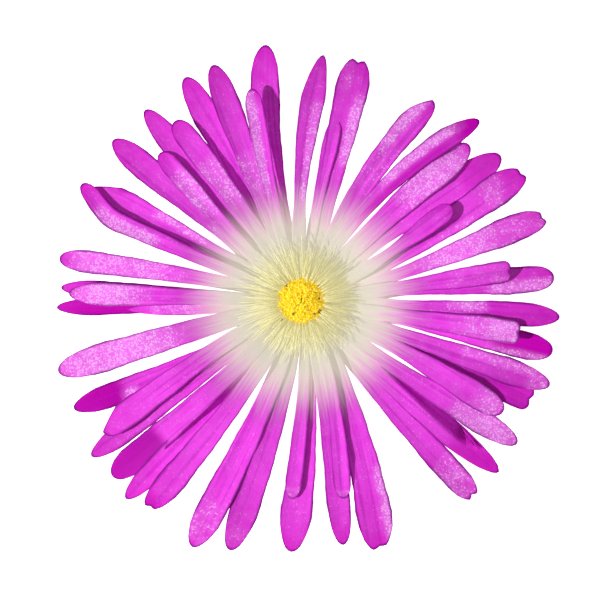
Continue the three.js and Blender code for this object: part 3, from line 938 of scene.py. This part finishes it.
def turned(outline, sides, closed=True):
    """Vertices and faces of an outline turned about the flower's axis, its two ends joined or on the axis."""
    vertices = []
    rings = []
    for radius, height in outline:
        if radius == 0:
            rings.append([len(vertices)] * sides)
            vertices.append((0, 0, height))
            continue
        rings.append([len(vertices) + side for side in range(sides)])
        for side in range(sides):
            turn = 2 * np.pi * side / sides
            vertices.append((radius * np.cos(turn), radius * np.sin(turn), height))
    faces = []
    for lower, upper in zip(rings, rings[1:] + rings[:1] if closed else rings[1:]):
        for side in range(sides):
            after = (side + 1) % sides
            corners = [lower[side], lower[after], upper[after], upper[side]]
            faces.append(list(dict.fromkeys(corners)))
    return vertices, faces


def plain_mesh(piece):
    """Turns a piece's modifiers into its mesh."""
    bpy.context.view_layer.update()
    evaluated = piece.evaluated_get(bpy.context.evaluated_depsgraph_get())
    mesh = bpy.data.meshes.new_from_object(evaluated)
    piece.modifiers.clear()
    worn = piece.data
    piece.data = mesh
    bpy.data.meshes.remove(worn)
    mesh.name = piece.name


def hand_over(piece, node):
    """Lets a piece stand for its node of the solids."""
    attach(piece, "root")
    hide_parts(node)


# Petals


def petal_azimuth(petal, radius):
    out = (radius - CLAW_RADIUS) / (petal.reach - CLAW_RADIUS)
    turn = out + petal.bow * out * (1 - out)
    swing = petal.hook * smooth_step(radius, petal.reach - HOOK_LENGTH, petal.reach)
    return np.radians(petal.claw + (petal.tip_azimuth - petal.claw) * turn + swing)


def level_height(level, radius, azimuth):
    """Height of a level's middle surface, which leans with the flower's face and arches on its way out."""
    out = radius - PETAL_ROOT_RADIUS
    opened = np.minimum(1, out / (LEVELS_OPEN_BY - PETAL_ROOT_RADIUS))
    step = LEVEL_STEP_AT_ROOT + (LEVEL_STEP - LEVEL_STEP_AT_ROOT) * opened
    arch = ARCH_HEIGHT * np.sin(np.pi * out / ARCH_LENGTH)
    lean = LEAN_SLOPE * out * np.cos(azimuth - np.radians(LEAN_AZIMUTH))
    return PETAL_ROOT_HEIGHT + level * step + arch + lean


def petal_end(tip, across):
    """Where a line along the petal ends, as a share of its length."""
    rounded = 1 - (1 - np.abs(across) ** tip.fullness) ** (1 / tip.fullness)
    notch = tip.nick * np.maximum(0, 1 - NOTCH_NARROWNESS * np.abs(across))
    shorter_side = np.maximum(0, across * np.sign(tip.slant))
    return 1 - tip.taper * rounded - notch - abs(tip.slant) * shorter_side * (1 - rounded)


def smooth_step(value, low, high):
    share_now = np.clip((value - low) / (high - low), 0, 1)
    return share_now * share_now * (3 - 2 * share_now)


def patched(patches, radius, across):
    """How strongly a petal's patches show at each point."""
    strength = 0 * radius * across
    for patch in patches:
        half = patch.fade / 2
        inside = smooth_step(radius, patch.start - half, patch.start + half)
        inside = inside * (1 - smooth_step(radius, patch.end - half, patch.end + half))
        if patch.side:
            low, high = patch.edge - PATCH_SOFTNESS, patch.edge + PATCH_SOFTNESS
            inside = inside * smooth_step(across * patch.side, low, high)
        strength = np.maximum(strength, patch.strength * inside)
    return strength


def pleat_out(pleat, radius):
    """How far a radius lies between a pleat's start and its end."""
    return np.clip((radius - pleat.start) / (pleat.end - pleat.start), 0, 1)


def creased(pleat, radius, across):
    """Moves two columns of the grid to the two sides of a pleat's crease."""
    crease = pleat.crease * (1 - pleat_out(pleat, radius)) ** 2
    before, after = across[0, CREASE_COLUMN], across[0, CREASE_COLUMN + 1]
    inner = -1 + (across + 1) * (crease + 1) / (before + 1)
    outer = 1 - (1 - across) * (1 - CREASE_WIDTH - crease) / (1 - after)
    return np.where(across <= before, inner, outer)


def pleat_drop(pleat, radius, across):
    """How far the margin behind a pleat's crease hangs down."""
    last = pleat.end + pleat.slant * across
    closing = 1 - smooth_step(radius, last - PLEAT_CLOSES_IN, last)
    open_pleat = smooth_step(radius, pleat.start, pleat.start + PLEAT_OPENS_IN) * closing
    drop = pleat.drop_start + (pleat.drop_end - pleat.drop_start) * pleat_out(pleat, radius)
    behind = np.arange(COLUMNS + 1) > CREASE_COLUMN
    return drop * open_pleat * behind


def blade_relief(radius, across, petal, settings, luck):
    """The slow waves along a blade, less its lengthwise furrows."""
    ripple = settings.ripple / MM * smooth_step(radius, *RIPPLE_RADII)
    rocking = RIPPLE_ROCKING * across * np.sin(radius * RIPPLE_PACES[1] + luck[2])
    ripple = ripple * (np.sin(radius * RIPPLE_PACES[0] + luck[1]) + rocking)
    open_blade = smooth_step(radius, *FURROW_RADII) * smooth_step(petal.reach - radius, *FURROW_STOPS)
    furrow = sum(depth * np.exp(-(((across - place) / spread) ** 2)) for place, depth, spread in FURROWS)
    return ripple, settings.vein_depth / MM * furrow * open_blade


def blade_finish(number, radius, across, to_end, to_side, tone):
    """What a blade's finish needs at each point: painted glints and sheen, deep colour that is partly painted
    shade, the rim with patches that are partly painted shade, and tone.
    """
    outer = smooth_step(radius, *RIM_RADII)
    near, far = (start + more * outer for start, more in RIM_WIDTHS)
    line = 1 - smooth_step(np.minimum(to_end, to_side), near, far)
    line = (RIM_STRENGTHS[0] + RIM_STRENGTHS[1] * outer) * line
    tip_shade = TIP_SHADE * (1 - smooth_step(to_end, *TIP_SHADE_FADE))
    deep = np.maximum(patched(DEEP_AND_SHADE.get(number, []), radius, across), tip_shade)
    # A faint painted sheen of glistening cells over every blade, kept off the deep parts
    faint = FAINT_GLISTEN * smooth_step(radius, *FAINT_RADII)
    return {
        "glisten": np.maximum(patched(GLISTEN.get(number, []), radius, across), faint * (1 - deep)),
        "deep": deep,
        "edge": np.maximum(line, patched(PURPLE_AND_SHADE.get(number, []), radius, across)),
        "tone": 0 * radius + tone,
    }


def petal_surface(number, petal, settings, luck):
    """The middle surface of one blade, its half thickness and what its finish needs, on a grid."""
    length = petal.reach - PETAL_ROOT_RADIUS
    along = 1 - np.linspace(1, 0, ROWS + 1)[:, None] ** TIP_CROWDING
    across = np.sin(np.linspace(-np.pi / 2, np.pi / 2, COLUMNS + 1))[None, :]
    if number in PLEATS:
        across = creased(PLEATS[number], PETAL_ROOT_RADIUS + length * along, across)
    radius = PETAL_ROOT_RADIUS + length * along * petal_end(TIPS[petal.tip], across)
    azimuth = petal_azimuth(petal, radius)
    radius_ahead = radius + STEP_AHEAD
    ahead = petal_azimuth(petal, radius_ahead)
    centre = np.stack([radius * np.cos(azimuth), radius * np.sin(azimuth)])
    beyond = np.stack([radius_ahead * np.cos(ahead), radius_ahead * np.sin(ahead)])
    forward = (beyond - centre) / np.linalg.norm(beyond - centre, axis=0)

    outwards = np.minimum(1, radius / petal.reach / WIDEST_SHARE)
    widening = outwards ** (CLAW_POWER + (petal.waist - CLAW_POWER) * smooth_step(radius, *WAIST_RADII))
    waver = sum(
        share_now * np.sin(radius * pace + turn + lag * across)
        for (share_now, pace, lag), turn in zip(WAVERS, luck)
    )
    aside = across * petal.width * widening * (1 + waver * smooth_step(radius, *WAVER_RADII)) / 2

    twist = TWISTS.get(number, 0) * (radius / petal.reach) ** 3
    roll = (ROLL_SLOPE * np.sin((number - 1) * GOLDEN_ANGLE) + twist) * aside
    channel = CHANNEL_DEPTH * across**2 * widening
    curled = petal.curl * np.maximum(0, (radius / petal.reach - CURL_START) / (1 - CURL_START)) ** 2
    ripple, furrow = blade_relief(radius, across, petal, settings, luck)
    height = level_height(petal.level, radius, azimuth) + channel + roll + curled - furrow + ripple
    if number in PLEATS:
        height = height - pleat_drop(PLEATS[number], radius, across)
    surface = np.stack([centre[0] - forward[1] * aside, centre[1] + forward[0] * aside, height], axis=-1)

    thinning = (1 - BLADE_THINNING * along) * np.sqrt(np.clip(1 - across**4, 0, 1))
    half = settings.thickness / MM / 2 * thinning * np.sqrt(np.clip((1 - along) * END_BLUNTNESS, 0, 1))
    to_side = (1 - np.abs(across)) * petal.width * widening / 2
    finish = blade_finish(number, radius, across, (1 - along) * length, to_side, luck[3])
    grain = np.stack([(number - 0.5) / len(PETALS) + aside * GRAIN_WIDTH, radius / GRAIN_LENGTH], axis=-1)
    return surface, half, finish, grain


def blade_faces():
    """Faces of one closed blade: its upper grid, then the inner points of its lower grid."""
    upper = np.arange((ROWS + 1) * (COLUMNS + 1)).reshape(ROWS + 1, COLUMNS + 1)
    lower = upper.copy()
    inner = (ROWS - 1) * (COLUMNS - 1)
    lower[1:-1, 1:-1] = upper.size + np.arange(inner).reshape(ROWS - 1, COLUMNS - 1)
    top = [upper[:-1, :-1], upper[1:, :-1], upper[1:, 1:], upper[:-1, 1:]]
    bottom = [lower[:-1, :-1], lower[:-1, 1:], lower[1:, 1:], lower[1:, :-1]]
    stack = [np.stack([corner.ravel() for corner in side], axis=1) for side in (top, bottom)]
    return np.concatenate(stack), upper.size + inner


def make_petals(settings):
    """Fifty-two closed blades and the short tube that joins them at their roots."""
    dice = np.random.default_rng(PETAL_SEED)
    one_blade, points_each = blade_faces()
    vertices, faces, grains = [], [], []
    finish = {"glisten": [], "deep": [], "edge": [], "tone": []}
    for number, petal in enumerate(PETALS, start=1):
        luck = np.append(dice.uniform(0, 2 * np.pi, 3), dice.uniform(0, 1))
        surface, half, looks, grain = petal_surface(number, petal, settings, luck)
        lift = np.zeros_like(surface)
        lift[..., 2] = half
        vertices += [(surface + lift).reshape(-1, 3), (surface - lift)[1:-1, 1:-1].reshape(-1, 3)]
        faces.append(one_blade + (number - 1) * points_each)
        for name, values in looks.items():
            finish[name] += [values.ravel(), values[1:-1, 1:-1].ravel()]
        grains += [grain.reshape(-1, 2), grain[1:-1, 1:-1].reshape(-1, 2) + (0, 0.5)]
    ring_vertices, ring_faces = turned(TUBE_OUTLINE, sides=64)
    start = len(PETALS) * points_each
    vertices.append(np.array(ring_vertices))
    all_faces = np.concatenate(faces).tolist() + [[start + corner for corner in face] for face in ring_faces]
    grains.append(np.full((len(ring_vertices), 2), TUBE_GRAIN))
    piece = new_piece("strap_petals", np.concatenate(vertices), all_faces, petal_satin(settings))
    for name, values in finish.items():
        on_ring = np.full(len(ring_vertices), 0.5 if name == "tone" else 0.0)
        add_attribute(piece, name, np.concatenate([*values, on_ring]))
    corners = np.array([loop.vertex_index for loop in piece.data.loops])
    grain_map = piece.data.uv_layers.new(name="PetalMap")
    grain_map.uv.foreach_set("vector", np.concatenate(grains)[corners].ravel())
    hand_over(piece, "petals")


# Geometry trees


def end_tree(bench, inputs, outputs, *parts):
    """Ends a tree: its input mesh joined with its parts, smooth, real and in its material."""
    smooth = bench.out("GeometryNodeSetShadeSmooth", {"Geometry": bench.join(inputs["Geometry"], *parts)})
    real = bench.out("GeometryNodeRealizeInstances", {"Geometry": smooth})
    dressed = bench.out("GeometryNodeSetMaterial", {"Geometry": real, "Material": inputs["Material"]})
    return bench.end_group(outputs, Geometry=dressed)


def grow(piece, tree, **values):
    """Runs a geometry tree on a piece and keeps the result as its mesh."""
    modifier = piece.modifiers.new(tree.name, "NODES")
    modifier.node_group = tree
    for item in tree.interface.items_tree:
        key = item.name.replace(" ", "_")
        if item.in_out == "INPUT" and key in values:
            modifier[item.identifier] = values[key]
    plain_mesh(piece)


def ring_piece(name, outline, sides, closed=True):
    vertices, faces = turned(outline, sides, closed)
    piece = new_piece(name, vertices, faces)
    add_attribute(piece, "tone", np.full(len(vertices), RING_TONE))
    return piece


def thread_whorl():
    """One whorl of threads: each rises from the ring, arches outwards and thins to its tip."""
    bench, inputs, outputs = new_group("Thread Whorl", "GeometryNodeTree", {
        "Threads": 60, "Phase": 0.0, "Root Radius": 0.0023, "Root Height": 0.0078,
        "Shoulder Radius": 0.003, "Shoulder Height": 0.011, "Tip Radius": 0.005, "Tip Height": 0.011,
        "Width": 0.0002, "Unevenness": 0.1, "Lopsided": 0.05, "Seed": 0,
    }, {"Geometry": "Geometry"})
    corners = [("Root", "Root"), ("Root", "Shoulder"), ("Shoulder", "Shoulder"), ("Tip", "Tip")]
    line = bench.bend(9, *(
        bench.vector(x=inputs[f"{out} Radius"], z=inputs[f"{up} Height"]) for out, up in corners
    ))
    along = bench.out("GeometryNodeSplineParameter", output="Factor")
    marked = bench.store(line, "along", along, "POINT")
    azimuth = bench.spread_round(bench.out("GeometryNodeInputIndex"), inputs["Threads"], inputs["Phase"])
    seed = inputs["Seed"]
    turn = bench.vector(
        bench.random(-THREAD_ROLL, THREAD_ROLL, seed, 1),
        bench.random(-THREAD_PITCH, THREAD_PITCH, seed, 2),
        bench.math("ADD", azimuth, bench.random(-THREAD_SWAY, THREAD_SWAY, seed)),
    )
    longer = bench.math("MULTIPLY_ADD", bench.random(-1.0, 1.0, seed, 3), inputs["Unevenness"], 1.0)
    leftwards = bench.math("MULTIPLY", bench.math("COSINE", azimuth), inputs["Lopsided"])
    longer = bench.math("SUBTRACT", longer, leftwards)
    taller = bench.math("MULTIPLY_ADD", bench.random(-1.0, 1.0, seed, 4), THREAD_RISE, 1.0)
    size_now = bench.vector(longer, 1.0, taller)
    threads = bench.stand(bench.points(inputs["Threads"]), marked, bench.rotation(turn), size_now)
    toned = bench.store(threads, "tone", bench.random(0.0, 1.0, seed, 5))
    real = bench.out("GeometryNodeRealizeInstances", {"Geometry": toned})
    noise = bench.noise(
        bench.out("GeometryNodeInputPosition"), scale=600.0, detail=1.0, output="Color"
    )
    along_now = bench.out("GeometryNodeInputNamedAttribute", {"Name": "along"}, data_type="FLOAT")
    stray = bench.math("MULTIPLY", along_now, THREAD_STRAY * MM)
    drift = bench.scaled(bench.vector_math("SUBTRACT", noise, (0.5, 0.5, 0.5)), stray)
    wavy = bench.out("GeometryNodeSetPosition", {"Geometry": real, "Offset": drift})
    thin = bench.math("MULTIPLY", bench.math("POWER", along_now, 3.0), THREAD_THINNING)
    half_width = bench.math(
        "MULTIPLY", bench.math("SUBTRACT", 1.0, thin), bench.math("MULTIPLY", inputs["Width"], 0.5)
    )
    return bench.end_group(outputs, Geometry=bench.tube(wavy, sides=5, radius=1.0, scale=half_width))


def staminode_tree():
    """The ring of the input mesh with its whorls of threads."""
    bench, inputs, outputs = new_group("Staminodes", "GeometryNodeTree", {
        "Geometry": "Geometry", "Threads": 60, "Width": 0.0002, "Unevenness": 0.1, "Lopsided": 0.05,
        "Seed": 5, "Material": "Material",
    }, {"Geometry": "Geometry"})
    shared = {name: inputs[name] for name in ("Threads", "Width", "Unevenness", "Lopsided")}
    whorls = [
        bench.group(
            "Thread Whorl", **shared, Phase=whorl.phase, Root_Radius=whorl.root * MM,
            Root_Height=THREAD_ROOT_HEIGHT * MM, Shoulder_Radius=whorl.shoulder * MM,
            Shoulder_Height=whorl.shoulder_height * MM, Tip_Radius=whorl.tip * MM,
            Tip_Height=whorl.tip_height * MM, Seed=bench.math("ADD", inputs["Seed"], 10.0 * number),
        )[0]
        for number, whorl in enumerate(WHORLS)
    ]
    return end_tree(bench, inputs, outputs, *whorls)


def make_staminodes(settings):
    thread_whorl()
    piece = ring_piece("staminode_threads", STAMINODE_RING_OUTLINE, sides=48)
    grow(
        piece, staminode_tree(), Threads=settings.threads, Width=settings.width,
        Unevenness=settings.unevenness, Lopsided=settings.lopsided, Seed=5, Material=thread_silk(settings),
    )
    hand_over(piece, "staminodes")


def stamen_tree():
    """The ring of the input mesh with a crowded cushion of anthers, each on its filament."""
    bench, inputs, outputs = new_group("Stamens", "GeometryNodeTree", {
        "Geometry": "Geometry", "Anthers": 150, "Cushion Radius": 0.002, "Cushion Top": 0.0111,
        "Cushion Fall": 0.0012, "Anther Length": 0.0006, "Anther Width": 0.00035, "Root Height": 0.0067,
        "Seed": 3, "Material": "Material",
    }, {"Geometry": "Geometry"})
    index = bench.out("GeometryNodeInputIndex")
    seed = inputs["Seed"]
    share_now = bench.math("DIVIDE", bench.math("ADD", index, 0.5), inputs["Anthers"])
    azimuth = bench.math("MULTIPLY", index, GOLDEN_ANGLE)
    radius = bench.math("MULTIPLY", bench.math("SQRT", share_now), inputs["Cushion Radius"])
    fall = bench.math("MULTIPLY", share_now, inputs["Cushion Fall"])
    uneven = bench.random(-ANTHER_RISE * MM, ANTHER_RISE * MM, seed)
    height = bench.math("ADD", bench.math("SUBTRACT", inputs["Cushion Top"], fall), uneven)
    far = ANTHER_SCATTER * MM
    scatter = bench.random((-far, -far, 0), (far, far, 0), seed, 1)
    head = bench.vector_math("ADD", bench.about_axis(radius, azimuth, height), scatter)
    heads = bench.points(inputs["Anthers"], head)

    part = bench.split(bench.out("GeometryNodeInputPosition"))
    pinch = bench.between(bench.math("MULTIPLY", part["X"], part["X"]), 0.0, 0.05, ANTHER_WAIST, 1.0)
    pinched = bench.vector(part["X"], bench.math("MULTIPLY", part["Y"], pinch), part["Z"])
    ball = bench.ball(segments=10, rings=6, radius=0.5)
    lobed = bench.out("GeometryNodeSetPosition", {"Geometry": ball, "Position": pinched})
    tilt = bench.random(tuple(-turn for turn in ANTHER_TURNS), ANTHER_TURNS, seed, 2)
    plump = bench.random(*ANTHER_SIZES, seed, 3)
    width = bench.math("MULTIPLY", inputs["Anther Width"], plump)
    length = bench.math("MULTIPLY", inputs["Anther Length"], plump)
    anthers = bench.stand(heads, lobed, bench.rotation(tilt), bench.vector(width, width, length))
    anthers = bench.store(anthers, "tone", bench.random(0.0, 1.0, seed, 4))

    stalk = bench.out("GeometryNodeCurvePrimitiveLine", {"Start": (0, 0, -1), "End": (0, 0, 0)})
    root_radius = bench.math(
        "MULTIPLY_ADD", share_now, FILAMENT_ROOT_SPREAD * MM, FILAMENT_ROOT_RADIUS * MM
    )
    root = bench.about_axis(root_radius, azimuth, inputs["Root Height"])
    rise = bench.vector_math("SUBTRACT", head, root)
    upright = bench.out("FunctionNodeAlignRotationToVector", {"Vector": rise}, axis="Z")
    stalk_size = bench.vector(1.0, 1.0, bench.length(rise))
    filament = bench.tube(stalk, sides=5, radius=FILAMENT_RADIUS * MM)
    stalks = bench.stand(heads, filament, upright, stalk_size)
    return end_tree(bench, inputs, outputs, anthers, bench.store(stalks, "thread", 1.0))


def make_stamens(settings):
    piece = ring_piece("stamen_cushion", STAMEN_RING_OUTLINE, sides=40)
    grow(
        piece, stamen_tree(), Anthers=settings.anthers, Cushion_Radius=settings.cushion,
        Anther_Length=settings.length, Anther_Width=settings.width, Seed=3, Material=pollen_grain(settings),
    )
    hand_over(piece, "stamens")


def stigma_tree():
    """The foot of the input mesh with awl-shaped stigmas standing on it."""
    bench, inputs, outputs = new_group("Stigmas", "GeometryNodeTree", {
        "Geometry": "Geometry", "Awls": 5, "Root Width": 0.00042, "Tip Width": 0.0001,
        "Material": "Material",
    }, {"Geometry": "Geometry"})
    line = bench.bend(14, *((radius * MM, 0, height * MM) for radius, height in AWL_BEND))
    along = bench.out("GeometryNodeSplineParameter", output="Factor")
    root, tip = (bench.math("MULTIPLY", inputs[name], 0.5) for name in ("Root Width", "Tip Width"))
    taper = bench.math("MULTIPLY_ADD", bench.math("SUBTRACT", tip, root), along, root)
    turn = bench.vector(z=bench.spread_round(bench.out("GeometryNodeInputIndex"), inputs["Awls"]))
    awl = bench.tube(line, sides=12, radius=1.0, scale=taper)
    awls = bench.stand(bench.points(inputs["Awls"]), awl, bench.rotation(turn))
    return end_tree(bench, inputs, outputs, awls)


def make_stigmas(settings):
    piece = ring_piece("stigma_awls", STIGMA_FOOT_OUTLINE, sides=32, closed=False)
    grow(piece, stigma_tree(), Awls=settings.awls, Material=stigma_flesh(settings))
    hand_over(piece, "stigmas")


# Calyx


def sepal_mesh(azimuth, reach, width, thickness):
    """A closed fleshy limb from inside the ovary to a blunt tip, flatter above than below."""
    direction = np.radians(azimuth)
    outward = np.array([np.cos(direction), np.sin(direction), 0])
    sideways = np.array([-outward[1], outward[0], 0])
    vertices = []
    for station in range(SEPAL_STATIONS):
        along = np.sin(0.5 * np.pi * station / SEPAL_STATIONS)
        radius = SEPAL_ROOT_RADIUS + (reach - SEPAL_ROOT_RADIUS) * along
        rise = (SEPAL_TIP_HEIGHT - SEPAL_ROOT_HEIGHT) * np.sin(along * np.pi / 2)
        bluntness = np.sqrt(1 - along**SEPAL_BLUNTNESS)
        half_width = width / 2 * (1 - SEPAL_NARROWING * along) * bluntness
        half_depth = thickness / 2 * (1 - SEPAL_THINNING * along) * bluntness
        centre = outward * radius + np.array([0, 0, SEPAL_ROOT_HEIGHT + rise])
        for side in range(SEPAL_SIDES):
            turn = 2 * np.pi * side / SEPAL_SIDES
            lift = np.sin(turn) * (SEPAL_FLATNESS if np.sin(turn) > 0 else 1)
            vertex = centre + sideways * half_width * np.cos(turn)
            vertices.append(vertex + np.array([0, 0, half_depth * lift]))
    vertices.append(outward * reach + np.array([0, 0, SEPAL_TIP_HEIGHT]))
    last = (SEPAL_STATIONS - 1) * SEPAL_SIDES
    pairs = [(side, (side + 1) % SEPAL_SIDES) for side in range(SEPAL_SIDES)]
    faces = [list(range(SEPAL_SIDES))]
    for here in range(0, last, SEPAL_SIDES):
        beyond = here + SEPAL_SIDES
        faces += [[here + after, here + side, beyond + side, beyond + after] for side, after in pairs]
    faces += [[last + after, last + side, last + SEPAL_SIDES] for side, after in pairs]
    return vertices, faces


def papilla_tree():
    """Bladder cells standing out of the flesh."""
    bench, inputs, outputs = new_group("Papillae", "GeometryNodeTree", {
        "Geometry": "Geometry", "Cell Radius": 0.0001, "Cell Gap": 0.0004, "Seed": 2, "Material": "Material",
    }, {"Geometry": "Geometry"})
    facing = bench.split(bench.out("GeometryNodeInputNormal"))["Z"]
    height = bench.split(bench.out("GeometryNodeInputPosition"))["Z"]
    outside = bench.math("LESS_THAN", facing, CELLS_BELOW_SLOPE)
    above_break = bench.math("GREATER_THAN", height, CELLS_FROM_HEIGHT * MM)
    scattered = bench.place(
        "GeometryNodeDistributePointsOnFaces",
        {"Mesh": inputs["Geometry"], "Distance Min": inputs["Cell Gap"], "Density Max": 1.2e7,
         "Density Factor": bench.math("MULTIPLY", outside, above_break), "Seed": inputs["Seed"]},
        distribute_method="POISSON",
    ).outputs
    plump = bench.math("MULTIPLY", inputs["Cell Radius"], bench.random(*CELL_SIZES, inputs["Seed"]))
    size_now = bench.vector(plump, plump, bench.math("MULTIPLY", plump, CELL_FLATNESS))
    ball = bench.ball(segments=7, rings=5, radius=1.0)
    cells = bench.stand(scattered["Points"], ball, scattered["Rotation"], size_now)
    return end_tree(bench, inputs, outputs, cells)


def make_calyx(settings):
    """Ovary and sepals melted into one fleshy body, beset with bladder cells."""
    vertices, faces = turned(OVARY_OUTLINE, sides=72, closed=False)
    for sepal in SEPALS:
        more_vertices, more_faces = sepal_mesh(*sepal)
        faces += [[corner + len(vertices) for corner in face] for face in more_faces]
        vertices = list(vertices) + list(more_vertices)
    piece = new_piece("fleshy_calyx", vertices, faces)
    melt = piece.modifiers.new("Melt", "REMESH")
    melt.mode = "VOXEL"
    melt.voxel_size = settings.detail
    melt.use_smooth_shade = True
    soften = piece.modifiers.new("Soften", "SMOOTH")
    soften.factor = 0.5
    soften.iterations = 6
    plain_mesh(piece)
    grow(
        piece, papilla_tree(), Cell_Radius=settings.papilla, Cell_Gap=settings.papilla_gap, Seed=2,
        Material=calyx_flesh(settings),
    )
    hand_over(piece, "calyx")


# Stage


def make_stage(settings):
    """White floor, one crisp light from the lower left, even sky, and the camera straight above."""
    scene = bpy.context.scene
    material, bench, shader = new_material("Floor White")
    wire(
        bench, shader, Base_Color=settings.floor, Roughness=0.9, Emission_Color=WHITE,
        Emission_Strength=settings.floor_glow,
    )
    half = settings.floor_width / 2 / MM
    corners = [(x * half, y * half, FLOOR_HEIGHT) for x, y in ((-1, -1), (1, -1), (1, 1), (-1, 1))]
    floor = new_piece("floor", corners, [(0, 1, 2, 3)], material)

    lamp = bpy.data.lights.new("key", "SUN")
    lamp.energy = settings.key
    lamp.angle = settings.key_softness
    key = bpy.data.objects.new("key", lamp)
    azimuth = settings.key_azimuth
    flat = np.cos(settings.key_elevation)
    to_light = Vector((np.cos(azimuth) * flat, np.sin(azimuth) * flat, np.sin(settings.key_elevation)))
    key.matrix_world = Matrix.Translation(to_light) @ to_light.to_track_quat("Z", "Y").to_matrix().to_4x4()
    scene.collection.objects.link(key)

    world = bpy.data.worlds.new("sky")
    world.use_nodes = True
    sky = world.node_tree.nodes["Background"].inputs
    sky["Color"].default_value = (*WHITE, 1)
    sky["Strength"].default_value = settings.sky
    scene.world = world
    scene.view_settings.view_transform = "Standard"

    lens = bpy.data.cameras.new("camera")
    lens.lens = settings.lens
    lens.sensor_width = 36
    lens.clip_start = 0.01
    camera = bpy.data.objects.new("camera", lens)
    camera.location = (CAMERA_X * MM, CAMERA_Y * MM, SIGHT_HEIGHT * MM + settings.distance)
    scene.collection.objects.link(camera)
    scene.camera = camera


# Operators and panel


class ICEPLANT_OT_calyx(bpy.types.Operator):
    """Makes the fleshy calyx with its ovary, sepals and bladder cells"""

    bl_idname = "iceplant.make_calyx"
    bl_label = "Calyx"
    bl_options = {"REGISTER", "UNDO"}

    def execute(self, context):
        make_calyx(context.scene.iceplant_calyx)
        return {"FINISHED"}


class ICEPLANT_OT_petals(bpy.types.Operator):
    """Makes the strap petals and the tube that joins them"""

    bl_idname = "iceplant.make_petals"
    bl_label = "Petals"
    bl_options = {"REGISTER", "UNDO"}

    def execute(self, context):
        make_petals(context.scene.iceplant_petals)
        return {"FINISHED"}


class ICEPLANT_OT_staminodes(bpy.types.Operator):
    """Makes the whorls of pale threads"""

    bl_idname = "iceplant.make_staminodes"
    bl_label = "Staminodes"
    bl_options = {"REGISTER", "UNDO"}

    def execute(self, context):
        make_staminodes(context.scene.iceplant_staminodes)
        return {"FINISHED"}


class ICEPLANT_OT_stamens(bpy.types.Operator):
    """Makes the cushion of anthers on their filaments"""

    bl_idname = "iceplant.make_stamens"
    bl_label = "Stamens"
    bl_options = {"REGISTER", "UNDO"}

    def execute(self, context):
        make_stamens(context.scene.iceplant_stamens)
        return {"FINISHED"}


class ICEPLANT_OT_stigmas(bpy.types.Operator):
    """Makes the stigmas in the middle"""

    bl_idname = "iceplant.make_stigmas"
    bl_label = "Stigmas"
    bl_options = {"REGISTER", "UNDO"}

    def execute(self, context):
        make_stigmas(context.scene.iceplant_stigmas)
        return {"FINISHED"}


class ICEPLANT_OT_stage(bpy.types.Operator):
    """Makes the floor, the light and the camera"""

    bl_idname = "iceplant.make_stage"
    bl_label = "Stage"
    bl_options = {"REGISTER", "UNDO"}

    def execute(self, context):
        make_stage(context.scene.iceplant_stage)
        return {"FINISHED"}


class ICEPLANT_PT_panel(bpy.types.Panel):
    """Lists the flower's pieces with their settings"""

    bl_idname = "ICEPLANT_PT_panel"
    bl_label = "Ice Plant Flower"
    bl_space_type = "VIEW_3D"
    bl_region_type = "UI"
    bl_category = "Ice Plant"

    def draw(self, context):
        for operator, settings_name in STEPS:
            box = self.layout.box()
            box.operator(operator.bl_idname)
            settings = getattr(context.scene, settings_name)
            for name in settings.__annotations__:
                box.prop(settings, name)


SETTINGS = {
    "iceplant_calyx": CalyxSettings,
    "iceplant_petals": PetalSettings,
    "iceplant_staminodes": StaminodeSettings,
    "iceplant_stamens": StamenSettings,
    "iceplant_stigmas": StigmaSettings,
    "iceplant_stage": StageSettings,
}
STEPS = [
    (ICEPLANT_OT_calyx, "iceplant_calyx"),
    (ICEPLANT_OT_petals, "iceplant_petals"),
    (ICEPLANT_OT_staminodes, "iceplant_staminodes"),
    (ICEPLANT_OT_stamens, "iceplant_stamens"),
    (ICEPLANT_OT_stigmas, "iceplant_stigmas"),
    (ICEPLANT_OT_stage, "iceplant_stage"),
]
CLASSES = [*SETTINGS.values(), *(operator for operator, _ in STEPS), ICEPLANT_PT_panel]


def register():
    for cls in CLASSES:
        bpy.utils.register_class(cls)
    for name, settings in SETTINGS.items():
        setattr(bpy.types.Scene, name, PointerProperty(type=settings))


def unregister():
    for name in SETTINGS:
        delattr(bpy.types.Scene, name)
    for cls in reversed(CLASSES):
        bpy.utils.unregister_class(cls)


def main():
    register()
    cell_glints()
    tone_shift()
    bpy.ops.iceplant.make_calyx()
    bpy.ops.iceplant.make_petals()
    bpy.ops.iceplant.make_staminodes()
    bpy.ops.iceplant.make_stamens()
    bpy.ops.iceplant.make_stigmas()
    bpy.ops.iceplant.make_stage()


if __name__ == "__main__":
    main()
